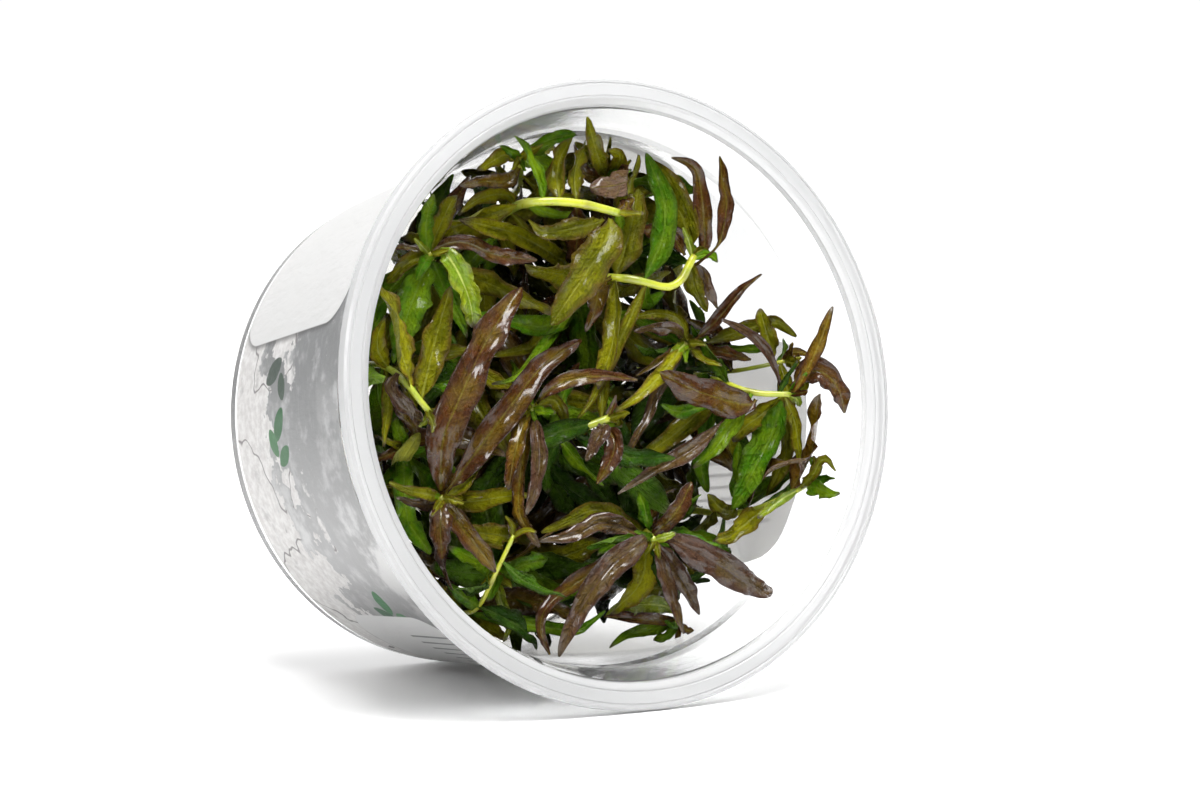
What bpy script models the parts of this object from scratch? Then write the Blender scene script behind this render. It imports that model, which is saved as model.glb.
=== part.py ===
"""A clear cup on its side, packed with young shoots of an aquarium plant grown in jelly.

Metres, +Z up. The cup rests on the edge of its flange and the edge of its closed end,
with its mouth towards -Y and tipped a little up. The origin is under the middle of its box.
"""

import math
import random

import bmesh
import bpy
from mathutils import Matrix, Quaternion, Vector
from mathutils.bvhtree import BVHTree

MM = 0.001

# Cup, in millimetres: depth is measured from the front of the flange
FLANGE_RADIUS = 54.0
FLANGE_PLATE = 1.1
FLANGE_SKIRT = 2.4
SKIRT_WIDTH = 1.0
MOUTH_RADIUS = 48.9
LEDGE_DEPTH = 11.3
LEDGE_RADIUS = 46.5
BASE_RADIUS = 43.15
HEIGHT = 66.0
WALL = 1.1
BASE_EDGE = 0.6
SIDES = 48
SEAM = 0.005

# Label: a thin wrap in two pieces, its ends counted in sides of the cup from the bottom
LABEL_GAP = 0.3
LABEL_THICKNESS = 0.2
LABEL_FRONT_DEPTH = 15.5
LABEL_BACK_DEPTH = 59.5
LABEL_CORNERS = (6.0, 1.8)
WRAPS = {"label_wrap": (19, 47), "label_patch": (6, 13)}

# Jelly that the shoots root in
JELLY_DEPTH = 58.2
JELLY_GAP = 0.4
JELLY_SIDES = 32

# Plant
TOUCH = 0.3
CLEARANCE = 0.16
WALL_CLEARANCE = 0.45
MOUTH_CLEARANCE = 0.5
LEAF_THICKNESS = 0.55
LEAF_FOLD = 22.0
STALK_WIDTH = 0.75
WIDEST = 0.72
FULLNESS = 0.72
STEM_SIDES = 4
STEM_STEP = 9.0
STEM_SPREAD = 0.8
STEM_TAPER = 0.75
SHOULDER = 0.9
HIDDEN_START = 2.0
BEND_COST = 2.5
START_STEPS = 40
LEAF_STATIONS = (0.0, 0.12, 0.32, 0.55, 0.8, 1.0)
LEAFLET_STATIONS = (0.0, 0.28, 0.62, 1.0)
PUSH_STEP = 0.8
PUSH_LIMIT = 26.0
PULL_LIMIT = 9.0
ROLLS = (0.0, 18.0, -18.0, 36.0, -36.0)
FILLERS = 76
GAP_TRIES = 7000
FILLER_TRIES = 12000
FILLER_LENGTH = (15.0, 26.0)
FILLER_WIDTH = (4.5, 7.0)
FILLER_STALK = 0.05
SHADED_STATIONS = (0.0, 0.45, 1.0)
FILLER_CHECKS = (0.12, 0.3, 0.5, 0.7, 0.85, 1.0)
FRESH_CELLS = 14
CELL = 1.0
CELL_STEPS = 7
SEED = 7

# Leaf and stem points are read in a picture plane through the middle of the mouth, as seen
# from in front and to the left: across, up and depth below the mouth, in millimetres
SIGHT_DISTANCE = 700.0
SIGHT_AZIMUTH = math.radians(31.6)
SIGHT_HEIGHT = math.radians(5.41)

COLOURS = {
    "lime": (0.42, 0.47, 0.03),
    "green": (0.08, 0.25, 0.02),
    "dark": (0.02, 0.09, 0.015),
    "shaded": (0.02, 0.07, 0.01),
    "olive": (0.16, 0.17, 0.02),
    "bronze": (0.11, 0.055, 0.025),
    "purple": (0.17, 0.11, 0.10),
}

# Round the leaves in the picture plane, and gaps (left, right, low, high) that show the wall
OUTLINE = [
    (-43, -8), (-43, 8), (-39, 20), (-33, 31), (-24, 39), (-14, 43), (-5, 46), (4, 40), (12, 36),
    (13, 26), (9, 19), (16, 12), (24, 12), (29, 6), (33, -2), (33, -12), (28, -19), (20, -24),
    (16, -30), (8, -38), (-8, -40), (-14, -44), (-24, -40), (-32, -34), (-38, -24),
]
GAPS = [(18.5, 25, -2, 5), (13, 17, -20, -12.5), (20, 25, -29, -21.5)]

# Stems: radius, then points from the jelly up to the youngest leaves
STEMS = {
    "stem_lime": (1.05, [(-21, 30, 20), (-19.6, 32.2, 9), (-14, 32.7, 6), (-8, 32.4, 5), (-1.5, 30.4, 5)]),
    "stem_yellow": (0.95,
        [(-6, 20.3, 14), (0, 19.7, 9), (6, 17.8, 8), (9.4, 16.6, 9), (10.9, 20, 9), (11.2, 23.2, 8)]),
    "stem_right": (0.75,
        [(11, 3, 24), (17, 2, 12), (20.2, 0.1, 10), (23, -2, 9), (25.4, -2, 8), (27.8, -0.4, 7)]),
    "stem_right_fork": (0.55, [(15, 3.6, 27), (19.4, 3.5, 17), (23.5, 4.1, 14), (27, 5.3, 12)]),
    "stem_low_right": (0.8,
        [(12, -20, 30), (17.5, -21.2, 19), (21.2, -21.2, 14), (25, -18.6, 12), (31.3, -15.2, 10)]),
    "stem_centre": (0.95,
        [(-17, -9, 24), (-13.8, -8.6, 13), (-10, -7, 11), (-6, -5.5, 10), (-3.2, -4.4, 9)]),
    "stem_low_left": (0.7, [(-33, -20, 26), (-31.7, -18, 10)]),
    "stem_left": (0.75, [(-42.2, 5.6, 15), (-40.3, 4.1, 10), (-37.3, 2, 8), (-33.7, -3.5, 7)]),
    "stem_brown": (0.5, [(-25.2, -39, 15), (-24, -34, 11), (-21.6, -29, 9), (-19.4, -24.3, 8)]),
    "stem_whorl": (0.95, [(1, -22, 28), (3, -24, 14), (4.3, -25.2, 5.5)]),
    "stem_upper_left": (0.8, [(-33, 22, 26), (-33.7, 23.4, 9)]),
    "stem_top": (0.8, [(-18.4, 33.8, 30), (-18.2, 36.8, 17), (-18.4, 39.8, 10)]),
    "stem_upright": (0.75, [(-4, 33, 36), (-3.6, 36.4, 14)]),
    "stem_middle": (0.85, [(12, 6, 30), (9.8, 8.3, 12)]),
    "stem_middle_left": (0.85, [(-15, -2, 28), (-16.4, -3, 9)]),
    "stem_low": (0.8, [(7, -31, 34), (7.8, -35, 20), (8.4, -39.5, 16.5)]),
    "stem_low_middle": (0.8, [(-20, -27, 36), (-22.6, -31, 17)]),
    "stem_back_left": (0.8, [(-27, 5, 38), (-28.5, 5, 18)]),
    "stem_edge": (0.7, [(-36, -8, 34), (-38.4, -9.5, 15)]),
}

# Leaves, front ones first: name, colour, width, roll, stalk, and points from stalk to tip
LEAVES = [
    ("spear", "bronze", 2.9, 0, 0.05, [(28.6, 0.4, 5), (31.4, 5.6, 4), (33.4, 10.4, 3.5), (34.7, 14.7, 3)]),
    ("whorl_long", "bronze", 5.4, 8, 0.03,
     [(2.4, -25.4, 3), (-2.4, -29, 2.6), (-6.6, -34.2, 3), (-9.8, -40, 4), (-11.7, -45, 5.5)]),
    ("whorl_right", "bronze", 5.6, -6, 0.03,
     [(8, -25.2, 3.4), (13.6, -28.2, 3.4), (19.4, -32, 3.6), (23.4, -34, 4.4), (25.5, -32.9, 5)]),
    ("whorl_down", "purple", 3.2, 12, 0.04, [(5.4, -28, 4), (7.6, -34, 4.2), (9.4, -40.8, 5.5)]),
    ("whorl_behind", "purple", 3.6, -10, 0.04, [(7, -28, 6.4), (9.8, -33, 7), (12.4, -38, 8.5)]),
    ("arch", "purple", 2.3, 20, 0.12,
     [(25.7, 1.4, 8), (24.5, 5.2, 7.5), (21.8, 9.2, 7.5), (18.4, 11.2, 8), (15.6, 12.4, 8.5)]),
    ("long_left", "bronze", 6.2, 5, 0.02,
     [(-31.8, -8, 5), (-29.4, -3, 4), (-26, 5, 3.6), (-22.8, 11, 3.6), (-18.1, 17.7, 4)]),
    ("lime_curl", "lime", 4.6, -10, 0.04,
     [(-31, 23.9, 6.5), (-28.6, 20, 5), (-26.6, 15, 4.6), (-26, 10.9, 5)]),
    ("hanging", "olive", 7.0, 12, 0.03,
     [(-3, 27, 3.4), (-6.2, 21.5, 3), (-10, 16, 3.4), (-13.3, 11.4, 4.4)]),
    ("swept", "olive", 3.8, -20, 0.04,
     [(-5, 28.7, 5.6), (-10.4, 27.6, 6), (-14.8, 26.8, 6.4), (-16.9, 29.2, 7)]),
    ("upright", "olive", 3.4, 0, 0.04, [(-5, 39.6, 7), (-6.1, 43.4, 4.4), (-6.9, 47.0, 1.6)]),
    ("brown_top", "bronze", 5.0, -8, 0.05, [(0.6, 36, 6.5), (-2.4, 35, 6), (-6.2, 34.7, 6)]),
    ("tall_bronze", "bronze", 3.3, 0, 0.03,
     [(13.3, 24.8, 9), (12.8, 30, 8), (12.4, 35, 7.4), (11.4, 38.6, 7.4), (7.5, 39.8, 8)]),
    ("tall_right", "bronze", 3.1, 12, 0.26,
     [(14.7, 24, 9), (15.8, 26, 9), (17, 32, 8.6), (15.9, 36.2, 8.4), (15.9, 40.2, 8.4)]),
    ("broad_top", "olive", 6.2, 0, 0.03, [(10.4, 25.6, 10), (8.9, 31, 10), (6.2, 36, 10), (2.9, 40.1, 11)]),
    ("brown_right", "bronze", 5.0, 10, 0.08,
     [(30.2, 3.6, 8), (33.6, 3.4, 6.4), (36, 0.4, 6), (37.1, -3.6, 6)]),
    ("long_brown", "bronze", 5.8, 0, 0.04,
     [(21, -2.5, 8.4), (15.6, -1.2, 7.6), (10.2, 0.7, 7.4), (5.4, 3.4, 7.6)]),
    ("diagonal", "olive", 2.8, 20, 0.04, [(8.4, 6.6, 9), (5.3, 2.4, 7), (1.5, -1, 6.4), (-2.2, -3.4, 7)]),
    ("glossy_brown", "bronze", 3.0, -14, 0.04,
     [(-13, 1, 6.4), (-8, 2.6, 5.6), (-3, 2.7, 5.6), (1.2, 1.9, 6)]),
    ("brown_left", "bronze", 5.4, 8, 0.04,
     [(-24.4, -8.4, 8.5), (-19, -1, 7.5), (-14, 5.3, 7), (-8, 8.7, 8)]),
    ("narrow_hanging", "bronze", 3.2, 14, 0.04, [(-18, -6, 6.4), (-19.4, -11, 6), (-20.3, -16.6, 7)]),
    ("midrib_hanging", "purple", 3.0, 0, 0.04,
     [(-15.3, -7.5, 5.6), (-15, -12.6, 5.2), (-16, -17.4, 5.4), (-17.3, -20.8, 6)]),
    ("", "bronze", 2.7, 20, 0.04, [(-19.2, -19.4, 8), (-17.2, -23.4, 7), (-15.2, -26.7, 7)]),
    ("shoot_purple", "purple", 3.0, 16, 0.03, [(-4.2, -6.4, 6), (-5.8, -9, 6), (-7.2, -11.6, 6.4)]),
    ("shoot_bronze", "bronze", 3.6, -12, 0.03, [(-2.1, -8.4, 6.6), (-2.8, -11.6, 6.6), (-5.3, -15.6, 7.4)]),
    ("highlight", "purple", 3.0, -24, 0.05, [(8, 10.6, 9.4), (4.6, 11, 9), (0.8, 10.6, 9.4)]),
    ("grey_long", "purple", 4.0, 6, 0.24,
     [(17, -3.9, 9.4), (12.6, -8.6, 9), (8, -11.6, 8.6), (2.6, -14.8, 8.6), (-1.8, -17.5, 9)]),
    ("green_right", "green", 6.8, 6, 0.03, [(24.6, -7, 11.4), (22, -12, 10.4), (18.2, -19.6, 11)]),
    ("tip_right", "bronze", 2.8, -8, 0.05,
     [(15.4, 12.4, 12), (17.4, 15, 10.4), (19.8, 17.7, 10), (22.6, 19.6, 10)]),
    ("brown_upper", "bronze", 4.0, 12, 0.04, [(7.6, 26.6, 9.4), (5.0, 27, 8.8), (1.6, 28.0, 9)]),
    ("olive_bent", "olive", 3.6, 8, 0.08, [(24.5, 6.4, 12.4), (23.4, 10.4, 11.6), (22.4, 14.2, 11.6)]),
    ("olive_hook", "olive", 3.2, -14, 0.12, [(24.6, 12.2, 13.6), (26.8, 10.9, 13), (28.6, 9.4, 12.4)]),
    ("bronze_low", "bronze", 4.2, -6, 0.03, [(-31.8, -20.4, 8.6), (-31.9, -24, 8), (-31.5, -28.4, 8.6)]),
    ("grey_low", "purple", 3.8, 10, 0.05, [(-4.4, -21.6, 9), (-8.6, -24.4, 8.4), (-14.6, -25.2, 9)]),
    ("green_left", "green", 6.0, -8, 0.03, [(-35, 19.6, 10), (-38, 12, 9.6), (-39.8, 4.9, 12)]),
    ("broad_olive", "olive", 5.8, 6, 0.03, [(-17.4, 26.4, 12), (-22.4, 28, 10), (-28.7, 29.3, 10)]),
    ("pale_green", "green", 3.0, 12, 0.03, [(4.2, -23.6, 9), (3, -20.4, 8.4), (1.9, -16.9, 9)]),
    ("bright_low", "green", 3.8, -10, 0.03, [(-23, -29.8, 12), (-26.6, -28, 10), (-30.6, -26, 10.5)]),
    ("", "bronze", 1.8, 0, 0.1, [(27.6, 6.6, 11.6), (29, 6.9, 10.6), (31, 6.2, 9.8)]),
    ("", "purple", 3.2, 10, 0.04, [(-40.6, 0.6, 10), (-37.4, -2.4, 9), (-33.2, -6.6, 8.4)]),
    ("", "olive", 3.4, 0, 0.04, [(27.6, -1.8, 8.4), (26.4, -3.8, 8.6), (25.2, -6, 9)]),
    ("", "purple", 2.3, 0, 0.2, [(12.2, 21.6, 9), (13.5, 18, 9), (15.2, 14, 9.6)]),
    ("", "olive", 3.6, 10, 0.05, [(10.8, 20.4, 9.6), (11.4, 17.4, 9.4), (13.6, 13.8, 10)]),
    ("", "green", 3.2, -12, 0.05, [(15.6, -8.6, 10.6), (14, -10.6, 10.8), (11.2, -12.7, 11)]),
    ("", "green", 3.2, 10, 0.05, [(33.4, -16.6, 9), (34.4, -17.8, 8), (36, -18.1, 7.6)]),
    ("", "olive", 1.8, 20, 0.04,
     [(31.6, -14.2, 9), (32.4, -12, 8.4), (33.6, -11.3, 8), (34.9, -13.6, 7.6)]),
    ("", "olive", 2.4, 0, 0.05, [(28.4, -5, 9.6), (29, -8.6, 9.6), (29, -13, 9.6)]),
    ("", "lime", 2.0, -16, 0.04, [(28, -16.6, 10), (25.6, -18.4, 9.6), (22, -21.4, 10)]),
    ("", "olive", 4.2, 12, 0.05, [(19.8, -22.6, 12.5), (17.6, -24.4, 12), (14.2, -25.2, 12)]),
    ("", "olive", 2.8, 0, 0.05, [(16.6, -20.4, 16), (15.2, -19.4, 15.4), (13.6, -17.4, 15.4)]),
    ("", "olive", 2.6, 0, 0.05, [(-1.4, 39, 11), (-1.2, 40.4, 9.6), (-3.6, 41.2, 8)]),
    ("", "bronze", 3.0, 0, 0.05, [(-7, 36.6, 13), (-8.7, 39, 12), (-9, 42, 11)]),
    ("", "green", 3.2, 20, 0.04, [(-17, 41.2, 11), (-13.4, 43, 9.6), (-9, 43.7, 9)]),
    ("", "green", 3.6, -10, 0.04, [(-16.4, 39.6, 12.6), (-13.4, 38.4, 12), (-10.4, 35.1, 12)]),
    ("", "olive", 2.8, 10, 0.04, [(-20.4, 40.6, 11), (-22.6, 39.6, 10.6), (-25, 37.7, 10.6)]),
    ("", "bronze", 3.0, 0, 0.04, [(-20.6, 35.4, 12), (-24, 36, 11), (-28.4, 35, 11)]),
    ("", "olive", 2.8, -10, 0.04, [(-20, 33.6, 13), (-24, 33.6, 12.4), (-28.6, 30.8, 12)]),
    ("", "green", 2.6, 0, 0.04, [(-34.4, 26, 10), (-34.3, 29.6, 10), (-33, 33.4, 10.6)]),
    ("", "olive", 3.6, 10, 0.04, [(-33, 26, 11.5), (-31.4, 29.4, 11.4), (-29.4, 34, 11.6)]),
    ("", "olive", 3.4, 0, 0.04, [(-35.6, 22.8, 9.6), (-37.8, 21.6, 10), (-41, 18.6, 12)]),
    ("", "bronze", 2.2, 0, 0.04, [(-35.6, 24.2, 9.4), (-37.6, 24.6, 10), (-39.6, 24.4, 11.5)]),
    ("", "bronze", 3.2, 10, 0.05, [(-31, 25.4, 9.6), (-27.2, 25.6, 8.6), (-23, 23.2, 8.6), (-16, 22.4, 9)]),
    ("", "olive", 2.1, 20, 0.04, [(-18.2, 29, 10), (-16.2, 25, 9), (-10, 23.2, 9)]),
    ("", "green", 2.0, 0, 0.04, [(-14.8, 30.8, 8), (-11.6, 29.8, 7.6), (-8.2, 30.4, 8)]),
    ("", "bronze", 4.2, 8, 0.2, [(-5, 18.4, 9.6), (-5.4, 14.6, 9), (-6.4, 10.3, 9)]),
    ("", "olive", 2.4, 0, 0.05, [(9.2, 12.4, 12), (5.4, 13.7, 11.4), (0, 12.4, 11)]),
    ("", "bronze", 3.0, 0, 0.05, [(15.4, 10.2, 14), (13, 11, 12.6), (9.6, 13.2, 12.6)]),
    ("", "bronze", 1.8, 0, 0.05, [(7, 6.4, 9.6), (4.6, 4.9, 9), (1.2, 2.8, 9)]),
    ("", "olive", 3.4, -8, 0.05, [(-4, 4.8, 12.6), (-2.7, 8.8, 11.6), (-0.2, 12.3, 11)]),
    ("", "green", 3.0, 0, 0.05, [(3, 14.4, 12.4), (4.4, 16, 12), (6.1, 16.9, 12)]),
    ("", "green", 2.6, 0, 0.05, [(0, 13.4, 14), (-2, 13, 13.4), (-4, 13.3, 13)]),
    ("", "olive", 2.6, 0, 0.04, [(-5, 0.8, 11), (-6.3, -2, 10.4), (-8.6, -4.6, 10)]),
    ("", "olive", 2.6, 0, 0.04, [(-13, -0.8, 10.6), (-11.3, -2.8, 10.6), (-10.2, -6.2, 11.4)]),
    ("", "purple", 2.0, 14, 0.04, [(4.6, -0.4, 9), (3.6, -4, 8.6), (1.2, -8, 8.6), (-1.4, -13, 9.4)]),
    ("", "green", 3.0, 0, 0.04, [(10.6, -3.4, 12), (8, -3.4, 11), (5.2, -1.8, 11)]),
    ("", "olive", 4.0, 0, 0.04, [(9, -6.6, 12), (4.6, -9.4, 11.4), (0.8, -12.8, 11.4)]),
    ("", "olive", 3.6, 8, 0.04, [(22.8, -3.8, 11.6), (20.2, -5.6, 11.6), (17.8, -7.8, 12)]),
    ("", "olive", 3.2, 0, 0.04, [(27.4, -9, 13), (26, -13, 13), (23.8, -17.2, 13)]),
    ("", "green", 3.4, 0, 0.04, [(12.2, -12.6, 14), (12.8, -14.8, 14), (13.6, -17.1, 14.6)]),
    ("", "green", 1.8, 0, 0.05, [(20.6, 7.4, 15), (22.2, 7.4, 14), (24.2, 6.6, 14)]),
    ("", "olive", 3.4, 0, 0.04, [(-5, -19.4, 12), (-8.6, -21.2, 11), (-14, -23.6, 11)]),
    ("", "dark", 3.8, 0, 0.04, [(1.2, -23.6, 12), (-0.2, -21.6, 11.4), (-1.5, -19.3, 12)]),
    ("", "bronze", 2.8, 0, 0.04, [(7, -38.5, 17), (2.6, -38.8, 15), (-4, -38.2, 15)]),
    ("", "lime", 3.6, 0, 0.04, [(6.4, -36.2, 17), (1.8, -36, 16), (-3.6, -37.6, 16)]),
    ("", "olive", 3.0, 0, 0.04, [(5.4, -33, 19), (2.2, -34.2, 18), (-1.4, -35.6, 18)]),
    ("", "green", 2.8, 0, 0.04, [(4, -40.4, 18), (0.4, -41.2, 16.4), (-2.7, -42.6, 15)]),
    ("", "bronze", 3.4, 10, 0.04, [(-9, -32.6, 11), (-13.8, -36, 9.4), (-15.4, -40, 9), (-13.4, -44.8, 9)]),
    ("", "green", 3.0, 0, 0.04, [(-9, -41, 14), (-6.6, -39.4, 13), (-4.2, -37.4, 13)]),
    ("", "olive", 2.3, 0, 0.04, [(-33.6, -17.4, 9), (-36.8, -17, 9), (-40.6, -15.6, 11)]),
    ("", "olive", 2.3, 0, 0.04, [(-30, -17.4, 9), (-27.8, -16.2, 8.6), (-25, -12.6, 9)]),
    ("", "purple", 2.2, 0, 0.04, [(-33.6, -19.3, 11), (-36.4, -19, 11), (-39.4, -18, 12)]),
    ("", "green", 3.8, 0, 0.04, [(-37.8, -22, 14), (-36, -24, 13), (-33.4, -27.6, 13)]),
    ("", "olive", 4.6, 0, 0.04, [(-20, -24.6, 11), (-23.8, -24, 10), (-28.2, -23.6, 11)]),
    ("", "green", 2.6, 0, 0.04, [(-22.3, -32, 12), (-23, -33.2, 11.4), (-24, -35.4, 11.4)]),
    ("", "lime", 2.0, 0, 0.04, [(-21.4, -36.6, 15), (-19.7, -39, 14), (-21.2, -42.4, 14)]),
    ("", "green", 2.8, 0, 0.04, [(-25.8, -36, 14), (-28, -34.8, 13), (-30.6, -32.8, 13)]),
    ("", "purple", 2.6, 0, 0.04, [(-31.4, -29.6, 13), (-31, -31.6, 12), (-30.8, -33.8, 12)]),
    ("", "green", 3.2, 0, 0.04, [(-20, -30.6, 14), (-17.4, -29, 12.6), (-13.6, -28.4, 12.6)]),
    ("", "olive", 3.4, 0, 0.04, [(-36.6, 4.6, 12), (-33, 6.2, 11), (-26, 7.4, 12)]),
    ("", "dark", 4.6, 0, 0.04, [(-29, 3.8, 15), (-32, 1.4, 13), (-34.8, -2, 13)]),
    ("", "green", 5.4, 0, 0.04, [(-13, 10.6, 15), (-18.4, 11.6, 13), (-26, 13.4, 13)]),
    ("", "olive", 3.4, 0, 0.04, [(-15.4, 7.6, 17), (-18.6, 7, 15), (-22.6, 6, 15)]),
    ("", "green", 2.2, 0, 0.04, [(-17, 4, 12.6), (-20, 1.8, 12), (-23.4, 1.3, 12)]),
    ("", "green", 3.0, 0, 0.04, [(-31, 9, 15), (-32, 10.6, 14), (-31.4, 13, 14)]),
    ("", "olive", 2.2, 0, 0.04, [(-40.6, -2.6, 13), (-41.3, -5.4, 12.4), (-42.2, -9.2, 13)]),
    ("", "bronze", 2.6, 0, 0.04, [(-35.6, -6.4, 12), (-38, -4.2, 12), (-40.2, -2.2, 12.6)]),
    ("", "green", 2.8, 0, 0.04, [(-38.6, -8, 14), (-39.2, -6.4, 13), (-40, -4.4, 13.6)]),
    ("", "olive", 3.0, 0, 0.04, [(-39, -12.2, 13), (-37.4, -10, 11.6), (-35.4, -7, 11.6)]),
    ("", "dark", 5.0, 0, 0.04, [(-22.6, -14, 18), (-24.4, -16.6, 17), (-26.6, -20, 17)]),
    ("", "dark", 3.6, 0, 0.04, [(-14.6, -3.8, 16), (-14, -5.6, 16), (-12.8, -9, 16)]),
    ("", "dark", 3.8, 0, 0.04, [(4, 24, 16), (1.4, 23.2, 15), (-2, 21.8, 15)]),
]


def smallest_tilt(contact_radius, contact_depth, points):
    """Lean of the axis that lays the flange's back edge and the closed end on one plane."""
    angles = [math.atan2(contact_radius - r, d - contact_depth) for d, r in points]
    return min(angles)


def wall_radius(depth):
    """Outer radius of the tapered wall."""
    part = (depth - LEDGE_DEPTH) / (HEIGHT - BASE_EDGE - LEDGE_DEPTH)
    return (LEDGE_RADIUS + WALL) * (1 - part) + BASE_RADIUS * part


def cup_profile():
    """(depth, radius) round the section, from the inside of the closed end to its outside."""
    floor = HEIGHT - WALL
    lip = MOUTH_RADIUS
    return [
        (floor, 0.0),
        (floor, wall_radius(floor) - WALL - 1.2),
        (floor - 1.2, wall_radius(floor) - WALL),
        (LEDGE_DEPTH + 0.9, wall_radius(LEDGE_DEPTH) - WALL - 0.5),
        (LEDGE_DEPTH, LEDGE_RADIUS),
        (LEDGE_DEPTH - 0.7, LEDGE_RADIUS + 0.4),
        (1.8, lip),
        (0.5, lip + 0.5),
        (0.0, lip + 1.4),
        (0.0, FLANGE_RADIUS - 0.4),
        (0.4, FLANGE_RADIUS),
        (FLANGE_SKIRT, FLANGE_RADIUS),
        (FLANGE_SKIRT, FLANGE_RADIUS - SKIRT_WIDTH),
        (FLANGE_PLATE, FLANGE_RADIUS - SKIRT_WIDTH - 0.1),
        (FLANGE_PLATE, lip + 1.7),
        (2.1, lip + 1.0),
        (LEDGE_DEPTH - 0.7, LEDGE_RADIUS + 1.5),
        (LEDGE_DEPTH + 0.9, wall_radius(LEDGE_DEPTH + 0.9)),
        (HEIGHT - BASE_EDGE, BASE_RADIUS),
        (HEIGHT, BASE_RADIUS - BASE_EDGE),
        (HEIGHT, 0.0),
    ]


END_POINTS = [point for point in cup_profile() if point[0] > HEIGHT - 1 and point[1] > 0]
TILT = smallest_tilt(FLANGE_RADIUS, FLANGE_SKIRT, END_POINTS)
AXIS_OUT = Vector((0.0, -math.cos(TILT), math.sin(TILT)))
MOUTH_X = Vector((1.0, 0.0, 0.0))
MOUTH_Y = Vector((0.0, math.sin(TILT), math.cos(TILT)))


def mouth_centre():
    """Middle of the flange's front, so that the box stands on z = 0 round the origin."""
    back = max(d * math.cos(TILT) + r * math.sin(TILT) for d, r in cup_profile())
    front = min(d * math.cos(TILT) - r * math.sin(TILT) for d, r in cup_profile())
    height = FLANGE_RADIUS * math.cos(TILT) + FLANGE_SKIRT * math.sin(TILT)
    return Vector((0.0, -(back + front) / 2, height))


CENTRE = mouth_centre()
TO_VIEWER = Vector((
    -math.sin(SIGHT_AZIMUTH) * math.cos(SIGHT_HEIGHT),
    -math.cos(SIGHT_AZIMUTH) * math.cos(SIGHT_HEIGHT),
    math.sin(SIGHT_HEIGHT),
))
ACROSS = Vector((math.cos(SIGHT_AZIMUTH), -math.sin(SIGHT_AZIMUTH), 0.0))
UPWARD = TO_VIEWER.cross(ACROSS)


def seen(u, v, depth):
    """The point on the line of sight through (u, v) at this depth below the mouth."""
    slope = u * ACROSS.dot(AXIS_OUT) + v * UPWARD.dot(AXIS_OUT)
    out = (-depth - slope) / (TO_VIEWER.dot(AXIS_OUT) - slope / SIGHT_DISTANCE)
    return CENTRE + (ACROSS * u + UPWARD * v) * (1 - out / SIGHT_DISTANCE) + TO_VIEWER * out


def depth_and_radius(point):
    away = point - CENTRE
    depth = -away.dot(AXIS_OUT)
    return depth, math.hypot(away.dot(MOUTH_X), away.dot(MOUTH_Y))


def picture(point):
    """Across and up in the picture plane: the reverse of seen."""
    away = point - CENTRE
    scale = 1 - away.dot(TO_VIEWER) / SIGHT_DISTANCE
    return away.dot(ACROSS) / scale, away.dot(UPWARD) / scale


def in_outline(point):
    """Behind the leaves in the picture plane, and behind none of its gaps."""
    u, v = picture(point)
    if any(left < u < right and low < v < high for left, right, low, high in GAPS):
        return False
    crossings = 0
    for (u0, v0), (u1, v1) in zip(OUTLINE, OUTLINE[1:] + OUTLINE[:1]):
        if (v0 > v) != (v1 > v) and u < u0 + (v - v0) * (u1 - u0) / (v1 - v0):
            crossings += 1
    return crossings % 2 == 1


def room(depth):
    """Radius free inside the wall at a depth."""
    if depth < LEDGE_DEPTH:
        part = max(0.0, (depth - 1.8) / (LEDGE_DEPTH - 1.8))
        return MOUTH_RADIUS + (LEDGE_RADIUS - MOUTH_RADIUS) * part
    return wall_radius(depth) - WALL - 0.5


def clear_scene():
    for thing in list(bpy.data.objects):
        bpy.data.objects.remove(thing)


def material(name, colour, roughness, transmission=0.0):
    made = bpy.data.materials.new(name)
    made.use_nodes = True
    shader = made.node_tree.nodes["Principled BSDF"]
    shader.inputs["Base Color"].default_value = (*colour, 1.0)
    shader.inputs["Roughness"].default_value = roughness
    shader.inputs["Metallic"].default_value = 0.0
    shader.inputs["Transmission Weight"].default_value = transmission
    shader.inputs["IOR"].default_value = 1.49 if transmission else 1.4
    made.diffuse_color = (*colour, 1.0)
    return made


def object_from(name, mesh, finish):
    """Shapes are worked out in millimetres and scaled once, here."""
    mesh.transform(Matrix.Scale(MM, 4))
    mesh.materials.append(finish)
    made = bpy.data.objects.new(name, mesh)
    bpy.context.scene.collection.objects.link(made)
    return made


def turned_mesh(name, profile, sides):
    """Spins a closed (depth, radius) section round the cup's axis, with a flat at the bottom."""
    shape = bmesh.new()
    start = -math.pi / 2 + math.pi / sides
    corner = 1 / math.cos(math.pi / sides)
    spoke = (MOUTH_X * math.cos(start) + MOUTH_Y * math.sin(start)) * corner
    verts = [shape.verts.new(CENTRE - AXIS_OUT * d + spoke * r) for d, r in profile]
    edges = [shape.edges.new(pair) for pair in zip(verts, verts[1:])]
    bmesh.ops.spin(shape, geom=verts + edges, cent=CENTRE, axis=AXIS_OUT, angle=2 * math.pi, steps=sides)
    bmesh.ops.remove_doubles(shape, verts=shape.verts, dist=SEAM)
    bmesh.ops.recalc_face_normals(shape, faces=shape.faces)
    mesh = bpy.data.meshes.new(name)
    shape.to_mesh(mesh)
    shape.free()
    mesh.shade_smooth()
    mesh.set_sharp_from_angle(angle=math.radians(35))
    return mesh


def make_cup():
    finish = material("clear_plastic", (0.95, 0.96, 0.97), 0.08, 1.0)
    return object_from("cup", turned_mesh("cup", cup_profile(), SIDES), finish)


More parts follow.
